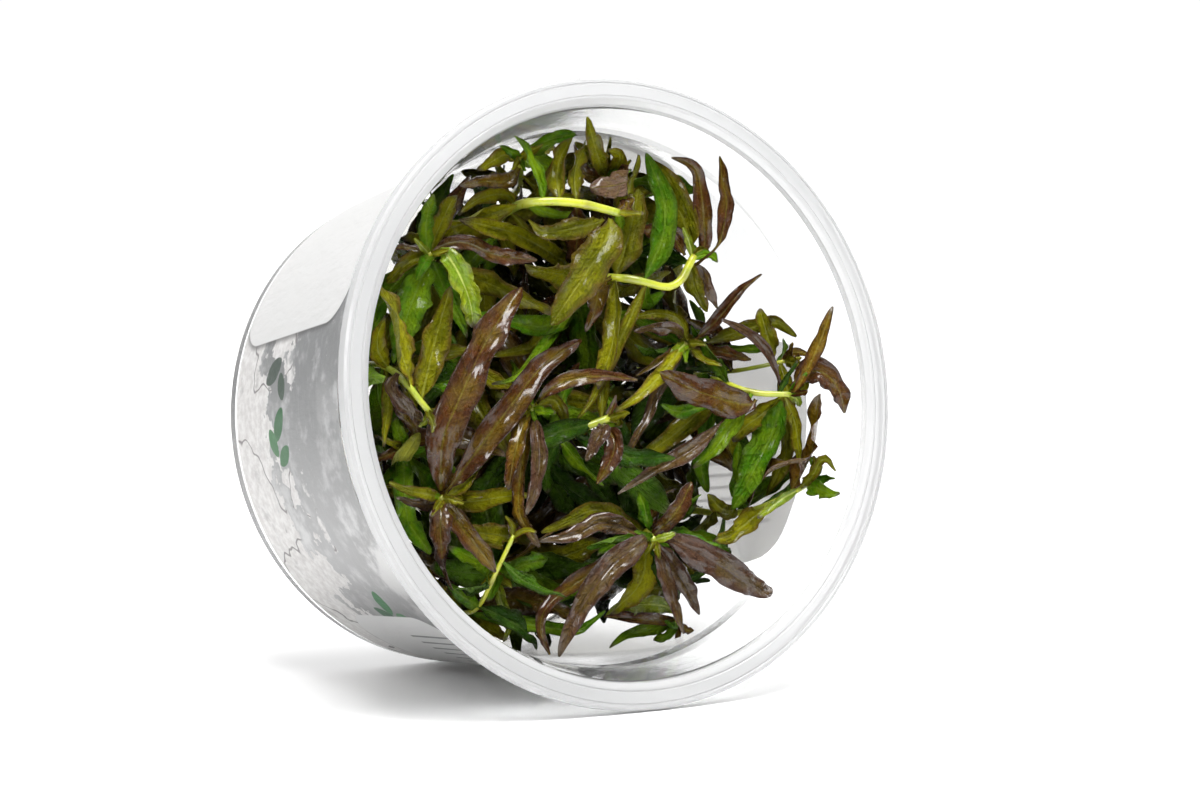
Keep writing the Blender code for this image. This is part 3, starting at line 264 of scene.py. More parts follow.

# Leaves, front ones first: name, colour, width, roll, stalk, and such points from stalk to tip
# The dark colour in this list is painted shade, for leaves that lie deep in shade
LEAVES = [
    ("spear", "bronze", 2.9, 0, 0.05, [(28.6, 0.4, 5), (31.4, 5.6, 4), (33.4, 10.4, 3.5), (34.7, 14.7, 3)]),
    ("whorl_long", "purple", 5.4, 8, 0.03,
     [(2.4, -25.4, 3), (-2.4, -29, 2.6), (-6.6, -34.2, 3), (-9.8, -40, 4), (-11.7, -45, 5.5)]),
    ("whorl_right", "purple", 5.6, -6, 0.03,
     [(8, -25.2, 3.4), (13.6, -28.2, 3.4), (19.4, -32, 3.6), (23.4, -34, 4.4), (25.5, -32.9, 5)]),
    ("whorl_down", "purple", 3.2, 12, 0.04, [(5.4, -28, 4), (7.6, -34, 4.2), (9.4, -40.8, 5.5)]),
    ("whorl_behind", "purple", 3.6, -10, 0.04, [(7, -28, 6.4), (9.8, -33, 7), (12.4, -38, 8.5)]),
    ("arch", "purple", 2.3, 20, 0.12,
     [(25.7, 1.4, 8), (24.5, 5.2, 7.5), (21.8, 9.2, 7.5), (18.4, 11.2, 8), (15.6, 12.4, 8.5)]),
    ("long_left", "bronze", 6.2, 5, 0.02,
     [(-31.8, -8, 5), (-29.4, -3, 4), (-26, 5, 3.6), (-22.8, 11, 3.6), (-18.1, 17.7, 4)]),
    ("lime_curl", "lime", 4.6, -10, 0.04,
     [(-31, 23.9, 6.5), (-28.6, 20, 5), (-26.6, 15, 4.6), (-26, 10.9, 5)]),
    ("hanging", "olive", 7.0, 12, 0.03,
     [(-3, 27, 3.4), (-6.2, 21.5, 3), (-10, 16, 3.4), (-13.3, 11.4, 4.4)]),
    ("swept", "olive", 3.8, -20, 0.04,
     [(-5, 28.7, 5.6), (-10.4, 27.6, 6), (-14.8, 26.8, 6.4), (-16.9, 29.2, 7)]),
    ("upright", "olive", 3.4, 0, 0.04, [(-5, 39.6, 7), (-6.1, 43.4, 4.4), (-6.9, 47.0, 1.6)]),
    ("brown_top", "bronze", 5.0, -8, 0.05, [(0.6, 36, 6.5), (-2.4, 35, 6), (-6.2, 34.7, 6)]),
    ("tall_bronze", "bronze", 3.3, 0, 0.03,
     [(13.3, 24.8, 9), (12.8, 30, 8), (12.4, 35, 7.4), (11.4, 38.6, 7.4), (7.5, 39.8, 8)]),
    ("tall_right", "bronze", 3.1, 12, 0.26,
     [(14.7, 24, 9), (15.8, 26, 9), (17, 32, 8.6), (15.9, 36.2, 8.4), (15.9, 40.2, 8.4)]),
    ("broad_top", "olive", 6.2, 0, 0.03, [(10.4, 25.6, 10), (8.9, 31, 10), (6.2, 36, 10), (2.9, 40.1, 11)]),
    ("brown_right", "bronze", 5.0, 10, 0.08,
     [(30.2, 3.6, 8), (33.6, 3.4, 6.4), (36, 0.4, 6), (37.1, -3.6, 6)]),
    ("long_brown", "bronze", 5.8, 0, 0.04,
     [(21, -2.5, 8.4), (15.6, -1.2, 7.6), (10.2, 0.7, 7.4), (5.4, 3.4, 7.6)]),
    ("diagonal", "olive", 2.8, 20, 0.04, [(8.4, 6.6, 9), (5.3, 2.4, 7), (1.5, -1, 6.4), (-2.2, -3.4, 7)]),
    ("glossy_brown", "bronze", 3.0, -14, 0.04,
     [(-13, 1, 6.4), (-8, 2.6, 5.6), (-3, 2.7, 5.6), (1.2, 1.9, 6)]),
    ("brown_left", "bronze", 5.4, 8, 0.04,
     [(-24.4, -8.4, 8.5), (-19, -1, 7.5), (-14, 5.3, 7), (-8, 8.7, 8)]),
    ("narrow_hanging", "bronze", 3.2, 14, 0.04, [(-18, -6, 6.4), (-19.4, -11, 6), (-20.3, -16.6, 7)]),
    ("midrib_hanging", "purple", 3.0, 0, 0.04,
     [(-15.3, -7.5, 5.6), (-15, -12.6, 5.2), (-16, -17.4, 5.4), (-17.3, -20.8, 6)]),
    ("", "bronze", 2.7, 20, 0.04, [(-19.2, -19.4, 8), (-17.2, -23.4, 7), (-15.2, -26.7, 7)]),
    ("shoot_purple", "purple", 3.0, 16, 0.03, [(-4.2, -6.4, 6), (-5.8, -9, 6), (-7.2, -11.6, 6.4)]),
    ("shoot_bronze", "bronze", 3.6, -12, 0.03, [(-2.1, -8.4, 6.6), (-2.8, -11.6, 6.6), (-5.3, -15.6, 7.4)]),
    ("highlight", "purple", 3.0, -24, 0.05, [(8, 10.6, 9.4), (4.6, 11, 9), (0.8, 10.6, 9.4)]),
    ("grey_long", "purple", 4.0, 6, 0.24,
     [(17, -3.9, 9.4), (12.6, -8.6, 9), (8, -11.6, 8.6), (2.6, -14.8, 8.6), (-1.8, -17.5, 9)]),
    ("green_right", "green", 6.8, 6, 0.03, [(24.6, -7, 11.4), (22, -12, 10.4), (18.2, -19.6, 11)]),
    ("tip_right", "bronze", 2.8, -8, 0.05,
     [(15.4, 12.4, 12), (17.4, 15, 10.4), (19.8, 17.7, 10), (22.6, 19.6, 10)]),
    ("brown_upper", "bronze", 4.0, 12, 0.04, [(7.6, 26.6, 9.4), (5.0, 27, 8.8), (1.6, 28.0, 9)]),
    ("olive_bent", "olive", 3.6, 8, 0.08, [(24.5, 6.4, 12.4), (23.4, 10.4, 11.6), (22.4, 14.2, 11.6)]),
    ("olive_hook", "olive", 3.2, -14, 0.12, [(24.6, 12.2, 13.6), (26.8, 10.9, 13), (28.6, 9.4, 12.4)]),
    ("bronze_low", "bronze", 4.2, -6, 0.03, [(-31.8, -20.4, 8.6), (-31.9, -24, 8), (-31.5, -28.4, 8.6)]),
    ("grey_low", "purple", 3.8, 10, 0.05, [(-4.4, -21.6, 9), (-8.6, -24.4, 8.4), (-14.6, -25.2, 9)]),
    ("green_left", "green", 6.0, -8, 0.03, [(-35, 19.6, 10), (-38, 12, 9.6), (-39.8, 4.9, 12)]),
    ("broad_olive", "olive", 5.8, 6, 0.03, [(-17.4, 26.4, 12), (-22.4, 28, 10), (-28.7, 29.3, 10)]),
    ("pale_green", "green", 3.0, 12, 0.03, [(4.2, -23.6, 9), (3, -20.4, 8.4), (1.9, -16.9, 9)]),
    ("bright_low", "green", 3.8, -10, 0.03, [(-23, -29.8, 12), (-26.6, -28, 10), (-30.6, -26, 10.5)]),
    ("", "bronze", 1.8, 0, 0.1, [(27.6, 6.6, 11.6), (29, 6.9, 10.6), (31, 6.2, 9.8)]),
    ("", "purple", 3.2, 10, 0.04, [(-40.6, 0.6, 10), (-37.4, -2.4, 9), (-33.2, -6.6, 8.4)]),
    ("", "olive", 3.4, 0, 0.04, [(27.6, -1.8, 8.4), (26.4, -3.8, 8.6), (25.2, -6, 9)]),
    ("", "purple", 2.3, 0, 0.2, [(12.2, 21.6, 9), (13.5, 18, 9), (15.2, 14, 9.6)]),
    ("", "olive", 3.6, 10, 0.05, [(10.8, 20.4, 9.6), (11.4, 17.4, 9.4), (13.6, 13.8, 10)]),
    ("", "green", 3.2, -12, 0.05, [(15.6, -8.6, 10.6), (14, -10.6, 10.8), (11.2, -12.7, 11)]),
    ("", "green", 3.2, 10, 0.05, [(33.4, -16.6, 9), (34.4, -17.8, 8), (36, -18.1, 7.6)]),
    ("", "olive", 1.8, 20, 0.04,
     [(31.6, -14.2, 9), (32.4, -12, 8.4), (33.6, -11.3, 8), (34.9, -13.6, 7.6)]),
    ("", "olive", 2.4, 0, 0.05, [(28.4, -5, 9.6), (29, -8.6, 9.6), (29, -13, 9.6)]),
    ("", "lime", 2.0, -16, 0.04, [(28, -16.6, 10), (25.6, -18.4, 9.6), (22, -21.4, 10)]),
    ("", "olive", 4.2, 12, 0.05, [(19.8, -22.6, 12.5), (17.6, -24.4, 12), (14.2, -25.2, 12)]),
    ("", "olive", 2.8, 0, 0.05, [(16.6, -20.4, 16), (15.2, -19.4, 15.4), (13.6, -17.4, 15.4)]),
    ("", "olive", 2.6, 0, 0.05, [(-1.4, 39, 11), (-1.2, 40.4, 9.6), (-3.6, 41.2, 8)]),
    ("", "bronze", 3.0, 0, 0.05, [(-7, 36.6, 13), (-8.7, 39, 12), (-9, 42, 11)]),
    ("", "green", 3.2, 20, 0.04, [(-17, 41.2, 11), (-13.4, 43, 9.6), (-9, 43.7, 9)]),
    ("", "green", 3.6, -10, 0.04, [(-16.4, 39.6, 12.6), (-13.4, 38.4, 12), (-10.4, 35.1, 12)]),
    ("", "olive", 2.8, 10, 0.04, [(-20.4, 40.6, 11), (-22.6, 39.6, 10.6), (-25, 37.7, 10.6)]),
    ("", "bronze", 3.0, 0, 0.04, [(-20.6, 35.4, 12), (-24, 36, 11), (-28.4, 35, 11)]),
    ("", "olive", 2.8, -10, 0.04, [(-20, 33.6, 13), (-24, 33.6, 12.4), (-28.6, 30.8, 12)]),
    ("", "green", 2.6, 0, 0.04, [(-34.4, 26, 10), (-34.3, 29.6, 10), (-33, 33.4, 10.6)]),
    ("", "olive", 3.6, 10, 0.04, [(-33, 26, 11.5), (-31.4, 29.4, 11.4), (-29.4, 34, 11.6)]),
    ("", "olive", 3.4, 0, 0.04, [(-35.6, 22.8, 9.6), (-37.8, 21.6, 10), (-41, 18.6, 12)]),
    ("", "bronze", 2.2, 0, 0.04, [(-35.6, 24.2, 9.4), (-37.6, 24.6, 10), (-39.6, 24.4, 11.5)]),
    ("", "bronze", 3.2, 10, 0.05, [(-31, 25.4, 9.6), (-27.2, 25.6, 8.6), (-23, 23.2, 8.6), (-16, 22.4, 9)]),
    ("", "olive", 2.1, 20, 0.04, [(-18.2, 29, 10), (-16.2, 25, 9), (-10, 23.2, 9)]),
    ("", "green", 2.0, 0, 0.04, [(-14.8, 30.8, 8), (-11.6, 29.8, 7.6), (-8.2, 30.4, 8)]),
    ("", "bronze", 4.2, 8, 0.2, [(-5, 18.4, 9.6), (-5.4, 14.6, 9), (-6.4, 10.3, 9)]),
    ("", "olive", 2.4, 0, 0.05, [(9.2, 12.4, 12), (5.4, 13.7, 11.4), (0, 12.4, 11)]),
    ("", "bronze", 3.0, 0, 0.05, [(15.4, 10.2, 14), (13, 11, 12.6), (9.6, 13.2, 12.6)]),
    ("", "bronze", 1.8, 0, 0.05, [(7, 6.4, 9.6), (4.6, 4.9, 9), (1.2, 2.8, 9)]),
    ("", "olive", 3.4, -8, 0.05, [(-4, 4.8, 12.6), (-2.7, 8.8, 11.6), (-0.2, 12.3, 11)]),
    ("", "green", 3.0, 0, 0.05, [(3, 14.4, 12.4), (4.4, 16, 12), (6.1, 16.9, 12)]),
    ("", "green", 2.6, 0, 0.05, [(0, 13.4, 14), (-2, 13, 13.4), (-4, 13.3, 13)]),
    ("", "olive", 2.6, 0, 0.04, [(-5, 0.8, 11), (-6.3, -2, 10.4), (-8.6, -4.6, 10)]),
    ("", "olive", 2.6, 0, 0.04, [(-13, -0.8, 10.6), (-11.3, -2.8, 10.6), (-10.2, -6.2, 11.4)]),
    ("", "purple", 2.0, 14, 0.04, [(4.6, -0.4, 9), (3.6, -4, 8.6), (1.2, -8, 8.6), (-1.4, -13, 9.4)]),
    ("", "green", 3.0, 0, 0.04, [(10.6, -3.4, 12), (8, -3.4, 11), (5.2, -1.8, 11)]),
    ("", "olive", 4.0, 0, 0.04, [(9, -6.6, 12), (4.6, -9.4, 11.4), (0.8, -12.8, 11.4)]),
    ("", "olive", 3.6, 8, 0.04, [(22.8, -3.8, 11.6), (20.2, -5.6, 11.6), (17.8, -7.8, 12)]),
    ("", "olive", 3.2, 0, 0.04, [(27.4, -9, 13), (26, -13, 13), (23.8, -17.2, 13)]),
    ("", "green", 3.4, 0, 0.04, [(12.2, -12.6, 14), (12.8, -14.8, 14), (13.6, -17.1, 14.6)]),
    ("", "green", 1.8, 0, 0.05, [(20.6, 7.4, 15), (22.2, 7.4, 14), (24.2, 6.6, 14)]),
    ("", "olive", 3.4, 0, 0.04, [(-5, -19.4, 12), (-8.6, -21.2, 11), (-14, -23.6, 11)]),
    ("", "dark", 3.8, 0, 0.04, [(1.2, -23.6, 12), (-0.2, -21.6, 11.4), (-1.5, -19.3, 12)]),
    ("", "bronze", 2.8, 0, 0.04, [(7, -38.5, 17), (2.6, -38.8, 15), (-4, -38.2, 15)]),
    ("", "lime", 3.6, 0, 0.04, [(6.4, -36.2, 17), (1.8, -36, 16), (-3.6, -37.6, 16)]),
    ("", "olive", 3.0, 0, 0.04, [(5.4, -33, 19), (2.2, -34.2, 18), (-1.4, -35.6, 18)]),
    ("", "green", 2.8, 0, 0.04, [(4, -40.4, 18), (0.4, -41.2, 16.4), (-2.7, -42.6, 15)]),
    ("", "bronze", 3.4, 10, 0.04, [(-9, -32.6, 11), (-13.8, -36, 9.4), (-15.4, -40, 9), (-13.4, -44.8, 9)]),
    ("", "green", 3.0, 0, 0.04, [(-9, -41, 14), (-6.6, -39.4, 13), (-4.2, -37.4, 13)]),
    ("", "olive", 2.3, 0, 0.04, [(-33.6, -17.4, 9), (-36.8, -17, 9), (-40.6, -15.6, 11)]),
    ("", "olive", 2.3, 0, 0.04, [(-30, -17.4, 9), (-27.8, -16.2, 8.6), (-25, -12.6, 9)]),
    ("", "purple", 2.2, 0, 0.04, [(-33.6, -19.3, 11), (-36.4, -19, 11), (-39.4, -18, 12)]),
    ("", "green", 3.8, 0, 0.04, [(-37.8, -22, 14), (-36, -24, 13), (-33.4, -27.6, 13)]),
    ("", "olive", 4.6, 0, 0.04, [(-20, -24.6, 11), (-23.8, -24, 10), (-28.2, -23.6, 11)]),
    ("", "green", 2.6, 0, 0.04, [(-22.3, -32, 12), (-23, -33.2, 11.4), (-24, -35.4, 11.4)]),
    ("", "lime", 2.0, 0, 0.04, [(-21.4, -36.6, 15), (-19.7, -39, 14), (-21.2, -42.4, 14)]),
    ("", "green", 2.8, 0, 0.04, [(-25.8, -36, 14), (-28, -34.8, 13), (-30.6, -32.8, 13)]),
    ("", "purple", 2.6, 0, 0.04, [(-31.4, -29.6, 13), (-31, -31.6, 12), (-30.8, -33.8, 12)]),
    ("", "green", 3.2, 0, 0.04, [(-20, -30.6, 14), (-17.4, -29, 12.6), (-13.6, -28.4, 12.6)]),
    ("", "olive", 3.4, 0, 0.04, [(-36.6, 4.6, 12), (-33, 6.2, 11), (-26, 7.4, 12)]),
    ("", "dark", 4.6, 0, 0.04, [(-29, 3.8, 15), (-32, 1.4, 13), (-34.8, -2, 13)]),
    ("", "green", 5.4, 0, 0.04, [(-13, 10.6, 15), (-18.4, 11.6, 13), (-26, 13.4, 13)]),
    ("", "olive", 3.4, 0, 0.04, [(-15.4, 7.6, 17), (-18.6, 7, 15), (-22.6, 6, 15)]),
    ("", "green", 2.2, 0, 0.04, [(-17, 4, 12.6), (-20, 1.8, 12), (-23.4, 1.3, 12)]),
    ("", "green", 3.0, 0, 0.04, [(-31, 9, 15), (-32, 10.6, 14), (-31.4, 13, 14)]),
    ("", "olive", 2.2, 0, 0.04, [(-40.6, -2.6, 13), (-41.3, -5.4, 12.4), (-42.2, -9.2, 13)]),
    ("", "bronze", 2.6, 0, 0.04, [(-35.6, -6.4, 12), (-38, -4.2, 12), (-40.2, -2.2, 12.6)]),
    ("", "green", 2.8, 0, 0.04, [(-38.6, -8, 14), (-39.2, -6.4, 13), (-40, -4.4, 13.6)]),
    ("", "olive", 3.0, 0, 0.04, [(-39, -12.2, 13), (-37.4, -10, 11.6), (-35.4, -7, 11.6)]),
    ("", "dark", 5.0, 0, 0.04, [(-22.6, -14, 18), (-24.4, -16.6, 17), (-26.6, -20, 17)]),
    ("", "dark", 3.6, 0, 0.04, [(-14.6, -3.8, 16), (-14, -5.6, 16), (-12.8, -9, 16)]),
    ("", "dark", 3.8, 0, 0.04, [(4, 24, 16), (1.4, 23.2, 15), (-2, 21.8, 15)]),
]


def smallest_tilt(contact_radius, contact_depth, points):
    """Lean of the axis that lays the flange's back edge and the closed end on one plane."""
    return min(math.atan2(contact_radius - r, d - contact_depth) for d, r in points)


def wall_radius(depth):
    """Outer radius of the tapered wall."""
    part = (depth - LEDGE_DEPTH) / (HEIGHT - BASE_EDGE - LEDGE_DEPTH)
    return (LEDGE_RADIUS + WALL) * (1 - part) + BASE_RADIUS * part


def cup_profile():
    """(depth, radius) round the section, from the inside of the closed end to its outside."""
    floor = HEIGHT - WALL
    lip = MOUTH_RADIUS
    return [
        (floor, 0.0),
        (floor, wall_radius(floor) - WALL - 1.2),
        (floor - 1.2, wall_radius(floor) - WALL),
        (LEDGE_DEPTH + 0.9, wall_radius(LEDGE_DEPTH) - WALL - 0.5),
        (LEDGE_DEPTH, LEDGE_RADIUS),
        (LEDGE_DEPTH - 0.7, LEDGE_RADIUS + 0.4),
        (1.8, lip),
        (0.5, lip + 0.5),
        (0.0, lip + 1.4),
        (0.0, FLANGE_RADIUS - 0.4),
        (0.4, FLANGE_RADIUS),
        (FLANGE_SKIRT, FLANGE_RADIUS),
        (FLANGE_SKIRT, FLANGE_RADIUS - SKIRT_WIDTH),
        (FLANGE_PLATE, FLANGE_RADIUS - SKIRT_WIDTH - 0.1),
        (FLANGE_PLATE, lip + 1.7),
        (2.1, lip + 1.0),
        (LEDGE_DEPTH - 0.7, LEDGE_RADIUS + 1.5),
        (LEDGE_DEPTH + 0.9, wall_radius(LEDGE_DEPTH + 0.9)),
        (HEIGHT - BASE_EDGE, BASE_RADIUS),
        (HEIGHT, BASE_RADIUS - BASE_EDGE),
        (HEIGHT, 0.0),
    ]


END_POINTS = [point for point in cup_profile() if point[0] > HEIGHT - 1 and point[1] > 0]
TILT = smallest_tilt(FLANGE_RADIUS, FLANGE_SKIRT, END_POINTS)
AXIS_OUT = Vector((0.0, -math.cos(TILT), math.sin(TILT)))
MOUTH_X = Vector((1.0, 0.0, 0.0))
MOUTH_Y = Vector((0.0, math.sin(TILT), math.cos(TILT)))


def mouth_centre():
    """Middle of the flange's front, so that the box stands on z = 0 round the origin."""
    back = max(d * math.cos(TILT) + r * math.sin(TILT) for d, r in cup_profile())
    front = min(d * math.cos(TILT) - r * math.sin(TILT) for d, r in cup_profile())
    height = FLANGE_RADIUS * math.cos(TILT) + FLANGE_SKIRT * math.sin(TILT)
    return Vector((0.0, -(back + front) / 2, height))


CENTRE = mouth_centre()
TO_VIEWER = Vector((
    -math.sin(SIGHT_AZIMUTH) * math.cos(SIGHT_HEIGHT),
    -math.cos(SIGHT_AZIMUTH) * math.cos(SIGHT_HEIGHT),
    math.sin(SIGHT_HEIGHT),
))
ACROSS = Vector((math.cos(SIGHT_AZIMUTH), -math.sin(SIGHT_AZIMUTH), 0.0))
UPWARD = TO_VIEWER.cross(ACROSS)


def seen(u, v, depth):
    """The point on the line of sight through (u, v) at this depth below the mouth."""
    slope = u * ACROSS.dot(AXIS_OUT) + v * UPWARD.dot(AXIS_OUT)
    out = (-depth - slope) / (TO_VIEWER.dot(AXIS_OUT) - slope / SIGHT_DISTANCE)
    return CENTRE + (ACROSS * u + UPWARD * v) * (1 - out / SIGHT_DISTANCE) + TO_VIEWER * out


def depth_and_radius(point):
    away = point - CENTRE
    depth = -away.dot(AXIS_OUT)
    return depth, math.hypot(away.dot(MOUTH_X), away.dot(MOUTH_Y))


def picture(point):
    """Across and up in the picture plane: the reverse of seen."""
    away = point - CENTRE
    scale = 1 - away.dot(TO_VIEWER) / SIGHT_DISTANCE
    return away.dot(ACROSS) / scale, away.dot(UPWARD) / scale


def in_outline(point):
    """Behind the leaves in the picture plane, and behind none of its gaps."""
    u, v = picture(point)
    if any(left < u < right and low < v < high for left, right, low, high in GAPS):
        return False
    crossings = 0
    for (u0, v0), (u1, v1) in zip(OUTLINE, OUTLINE[1:] + OUTLINE[:1]):
        if (v0 > v) != (v1 > v) and u < u0 + (v - v0) * (u1 - u0) / (v1 - v0):
            crossings += 1
    return crossings % 2 == 1


def room(depth):
    """Radius free inside the wall at a depth."""
    if depth < LEDGE_DEPTH:
        part = max(0.0, (depth - 1.8) / (LEDGE_DEPTH - 1.8))
        return MOUTH_RADIUS + (LEDGE_RADIUS - MOUTH_RADIUS) * part
    return wall_radius(depth) - WALL - 0.5


def smooth(points, rounds=3):
    """Cuts the corners of a path and keeps its ends."""
    for _ in range(rounds):
        cut = [points[0]]
        for a, b in zip(points, points[1:]):
            cut += [a.lerp(b, 0.25), a.lerp(b, 0.75)]
        points = cut + [points[-1]]
    return points


def path_length(path):
    return sum((b - a).length for a, b in zip(path, path[1:]))


def along(path, share):
    """Point and direction at a share of the path's length."""
    left = share * path_length(path)
    for a, b in zip(path, path[1:]):
        step = (b - a).length
        if left <= step and step > 0:
            return a.lerp(b, left / step), (b - a).normalized()
        left -= step
    return path[-1].copy(), (path[-1] - path[-2]).normalized()


def heading(path, share, window):
    """Direction of a path at a share of its length, evened out over a window."""
    before = along(path, max(0.0, share - window))[0]
    after = along(path, min(1.0, share + window))[0]
    return (after - before).normalized()


def squared(side, way):
    """A side turned to be square to a direction."""
    return (side - way * side.dot(way)).normalized()


def reach(spot, first, second):
    """Cost of starting a leaf at a spot: its distance, and more where the leaf would bend back."""
    run = first - spot
    turn = run.angle(second - first, 0.0)
    return run.length * (1 + BEND_COST * (1 - math.cos(turn)))


def nearest_on(path, point):
    """Closest point of a path."""
    best = None
    for a, b in zip(path, path[1:]):
        run = b - a
        share = max(0.0, min(1.0, (point - a).dot(run) / run.length_squared)) if run.length else 0.0
        spot = a + run * share
        if best is None or (spot - point).length < (best - point).length:
            best = spot
    return best


def stem_path(points):
    """From the jelly, gathered towards the middle, up through the points."""
    spots = [seen(*p) for p in points]
    away = spots[0] - CENTRE
    root = CENTRE - AXIS_OUT * (JELLY_DEPTH - TOUCH)
    root += (MOUTH_X * away.dot(MOUTH_X) + MOUTH_Y * away.dot(MOUTH_Y)) * STEM_SPREAD
    curve = smooth([root] + spots)
    count = max(3, round(path_length(curve) / STEM_STEP))
    return [along(curve, i / count)[0] for i in range(count + 1)]


def tube_rings(path, radius, sides):
    """Corner points round a path, kept from twisting; the foot is square to the cup's axis."""
    count = len(path) - 1
    rings = []
    side = None
    for i, spot in enumerate(path):
        way = (path[min(i + 1, count)] - path[max(i - 1, 0)]).normalized()
        if i == 0:
            way = AXIS_OUT
        side = squared(way.orthogonal().normalized() if side is None else side, way)
        wide = radius * (1 - (1 - STEM_TAPER) * i / count)
        other = way.cross(side)
        rings.append([
            spot + (side * math.cos(a) + other * math.sin(a)) * wide
            for a in (2 * math.pi * k / sides for k in range(sides))
        ])
    return rings


def blade_width(share, stalk):
    """Lance shape: 0 on the stalk, 1 at the widest place, 0 at the tip."""
    if share <= stalk:
        return 0.0
    part = (share - stalk) / (1 - stalk)
    return max(0.0, math.sin(math.pi * part ** WIDEST)) ** FULLNESS


def facing_side(spot, way, side, roll):
    """How a blade spreads to face the viewer, or None where it points along the line of sight."""
    facing = (CENTRE + TO_VIEWER * SIGHT_DISTANCE - spot).normalized()
    flat = way.cross(facing)
    if side is not None and flat.length <= END_ON:
        return None
    wanted = flat.normalized() if flat.length > 1e-6 else way.orthogonal().normalized()
    wanted = Quaternion(way, math.radians(roll)) @ wanted
    return wanted if side is None or wanted.dot(side) > 0 else -wanted


def blade_rings(path, width, roll, stalk, stations, extra=0.0):
    """Four corners at each station: edge, upper midrib, edge, lower midrib."""
    rings = []
    side = None
    for share in stations:
        spot, way = along(path, share)
        wanted = facing_side(spot, way, side, roll)
        side = squared(side if wanted is None else wanted, way)
        normal = side.cross(way)
        half = max(STALK_WIDTH / 2, width / 2 * blade_width(share, stalk)) + extra
        thick = (LEAF_THICKNESS / 2 + extra) * (0.7 if share in (0.0, 1.0) else 1.0)
        lift = math.tan(math.radians(LEAF_FOLD)) * max(0.0, half - STALK_WIDTH / 2 - extra)
        if share == 1.0:
            half = STALK_WIDTH * 0.4 + extra
            lift = 0.0
        rings.append([
            spot - side * half + normal * lift,
            spot + normal * thick,
            spot + side * half + normal * lift,
            spot - normal * thick,
        ])
    return rings


class Space:
    """What already fills the cup, for keeping new pieces clear of it."""

    def __init__(self):
        self.taken = []

    def solid(self, rings):
        count = len(rings[0])
        points = [p for ring in rings for p in ring]
        faces = [tuple(range(count)), tuple(range(len(points) - count, len(points)))]
        for row in range(len(rings) - 1):
            for i in range(count):
                a = row * count + i
                b = row * count + (i + 1) % count
                faces.append((a, a + count, b + count, b))
        low = Vector(map(min, zip(*points)))
        high = Vector(map(max, zip(*points)))
        return BVHTree.FromPolygons(points, faces), low, high

    def free(self, rings):
        tree, low, high = self.solid(rings)
        for other, other_low, other_high in self.taken:
            if any(low[i] > other_high[i] or high[i] < other_low[i] for i in range(3)):
                continue
            if tree.overlap(other):
                return False
        return True

    def take(self, rings):
        self.taken.append(self.solid(rings))


def inside_cup(rings):
    """Clear of the wall, the jelly and the plane of the mouth."""
    for point in (p for ring in rings for p in ring):
        depth, radius = depth_and_radius(point)
        if not MOUTH_CLEARANCE < depth < JELLY_DEPTH - 1.0:
            return False
        if radius > room(depth) - WALL_CLEARANCE:
            return False
    return True


def starts_on(stems, first, steps):
    """Places on the stems that a leaf may start at, as (stem, spot)."""
    shares = [i / steps for i in range(first, steps)]
    return [(name, along(path, share)[0]) for name, (radius, path) in stems for share in shares]


def leaf_path(stems, starts, points, apart):
    """A path that starts at the nearest stem, a gap away from it for a leaf that is a piece of its own."""
    first, second = points[:2]
    name, spot = min(starts, key=lambda start: reach(start[1], first, second))
    radius, path = stems[name]
    kept = [p for p in points if (p - spot).length > LEAST_RUN]
    way = (kept[0] - spot).normalized()
    start = spot.copy()
    gap = radius * SHOULDER + TOUCH + LEAF_THICKNESS / 2
    while apart and (nearest_on(path, start) - start).length < gap:
        start += way * 0.1
    return name, smooth([start] + kept)


def fit_leaf(space, stems, starts, leaf):
    """Moves a leaf along the line of sight, or rolls it, until it is clear of what is there."""
    name, colour, width, roll, stalk, points = leaf
    deeper = [PUSH_STEP * i for i in range(int(PUSH_LIMIT / PUSH_STEP))]
    nearer = [-PUSH_STEP * i for i in range(1, int(PULL_LIMIT / PUSH_STEP))]
    for push in deeper + nearer:
        spots = [seen(u, v, depth + push) for u, v, depth in points]
        stem, path = leaf_path(stems, starts, spots, bool(name))
        beyond = min(0.4, HIDDEN_START / path_length(path))
        stations = [beyond] + [s for s in LEAF_STATIONS if s > beyond]
        for turn in ROLLS:
            grown = blade_rings(path, width, roll + turn, stalk, stations, CLEARANCE)
            if inside_cup(grown) and space.free(grown):
                space.take(grown)
                return stem, path, roll + turn
    return None


def cells_behind(rings):
    """Cells of a grid in the picture plane that a blade covers."""
    shares = [i / CELL_STEPS for i in range(CELL_STEPS + 1)]
    cells = set()
    for ring, after in zip(rings, rings[1:]):
        for down in shares:
            left = ring[0].lerp(after[0], down)
            right = ring[2].lerp(after[2], down)
            spots = [picture(left.lerp(right, over)) for over in shares]
            cells |= {(round(u / CELL), round(v / CELL)) for u, v in spots}
    return cells


def leaf_cells(leaf, slim=1.0):
    """Cells that a leaf covers, or that a slimmer one in its place would."""
    path, width, roll, stalk, colour = leaf
    return cells_behind(blade_rings(path, width * slim, roll, stalk, LEAF_STATIONS))


def cells_of(single, fused, slim=1.0):
    """Cells that all these leaves cover."""
    leaves = [leaf for name, leaf in single] + [leaf for group in fused.values() for leaf in group]
    return set().union(*(leaf_cells(leaf, slim) for leaf in leaves))


def filler(chance, path):
    """A leaf low on a stem, where the front leaves hide it."""
    spot, way = along(path, chance.uniform(0.12, 0.75))
    out = Quaternion(way, chance.uniform(0, 2 * math.pi)) @ way.orthogonal().normalized()
    length = chance.uniform(*FILLER_LENGTH)
    width = chance.uniform(*FILLER_WIDTH)
    lean = chance.uniform(0.2, 0.9)
    middle = spot + (out + way * lean).normalized() * length * 0.55
    tip = middle + (out + way * (lean - 0.5)).normalized() * length * 0.45
    return smooth([spot, middle, tip]), width, chance.uniform(-60, 60)


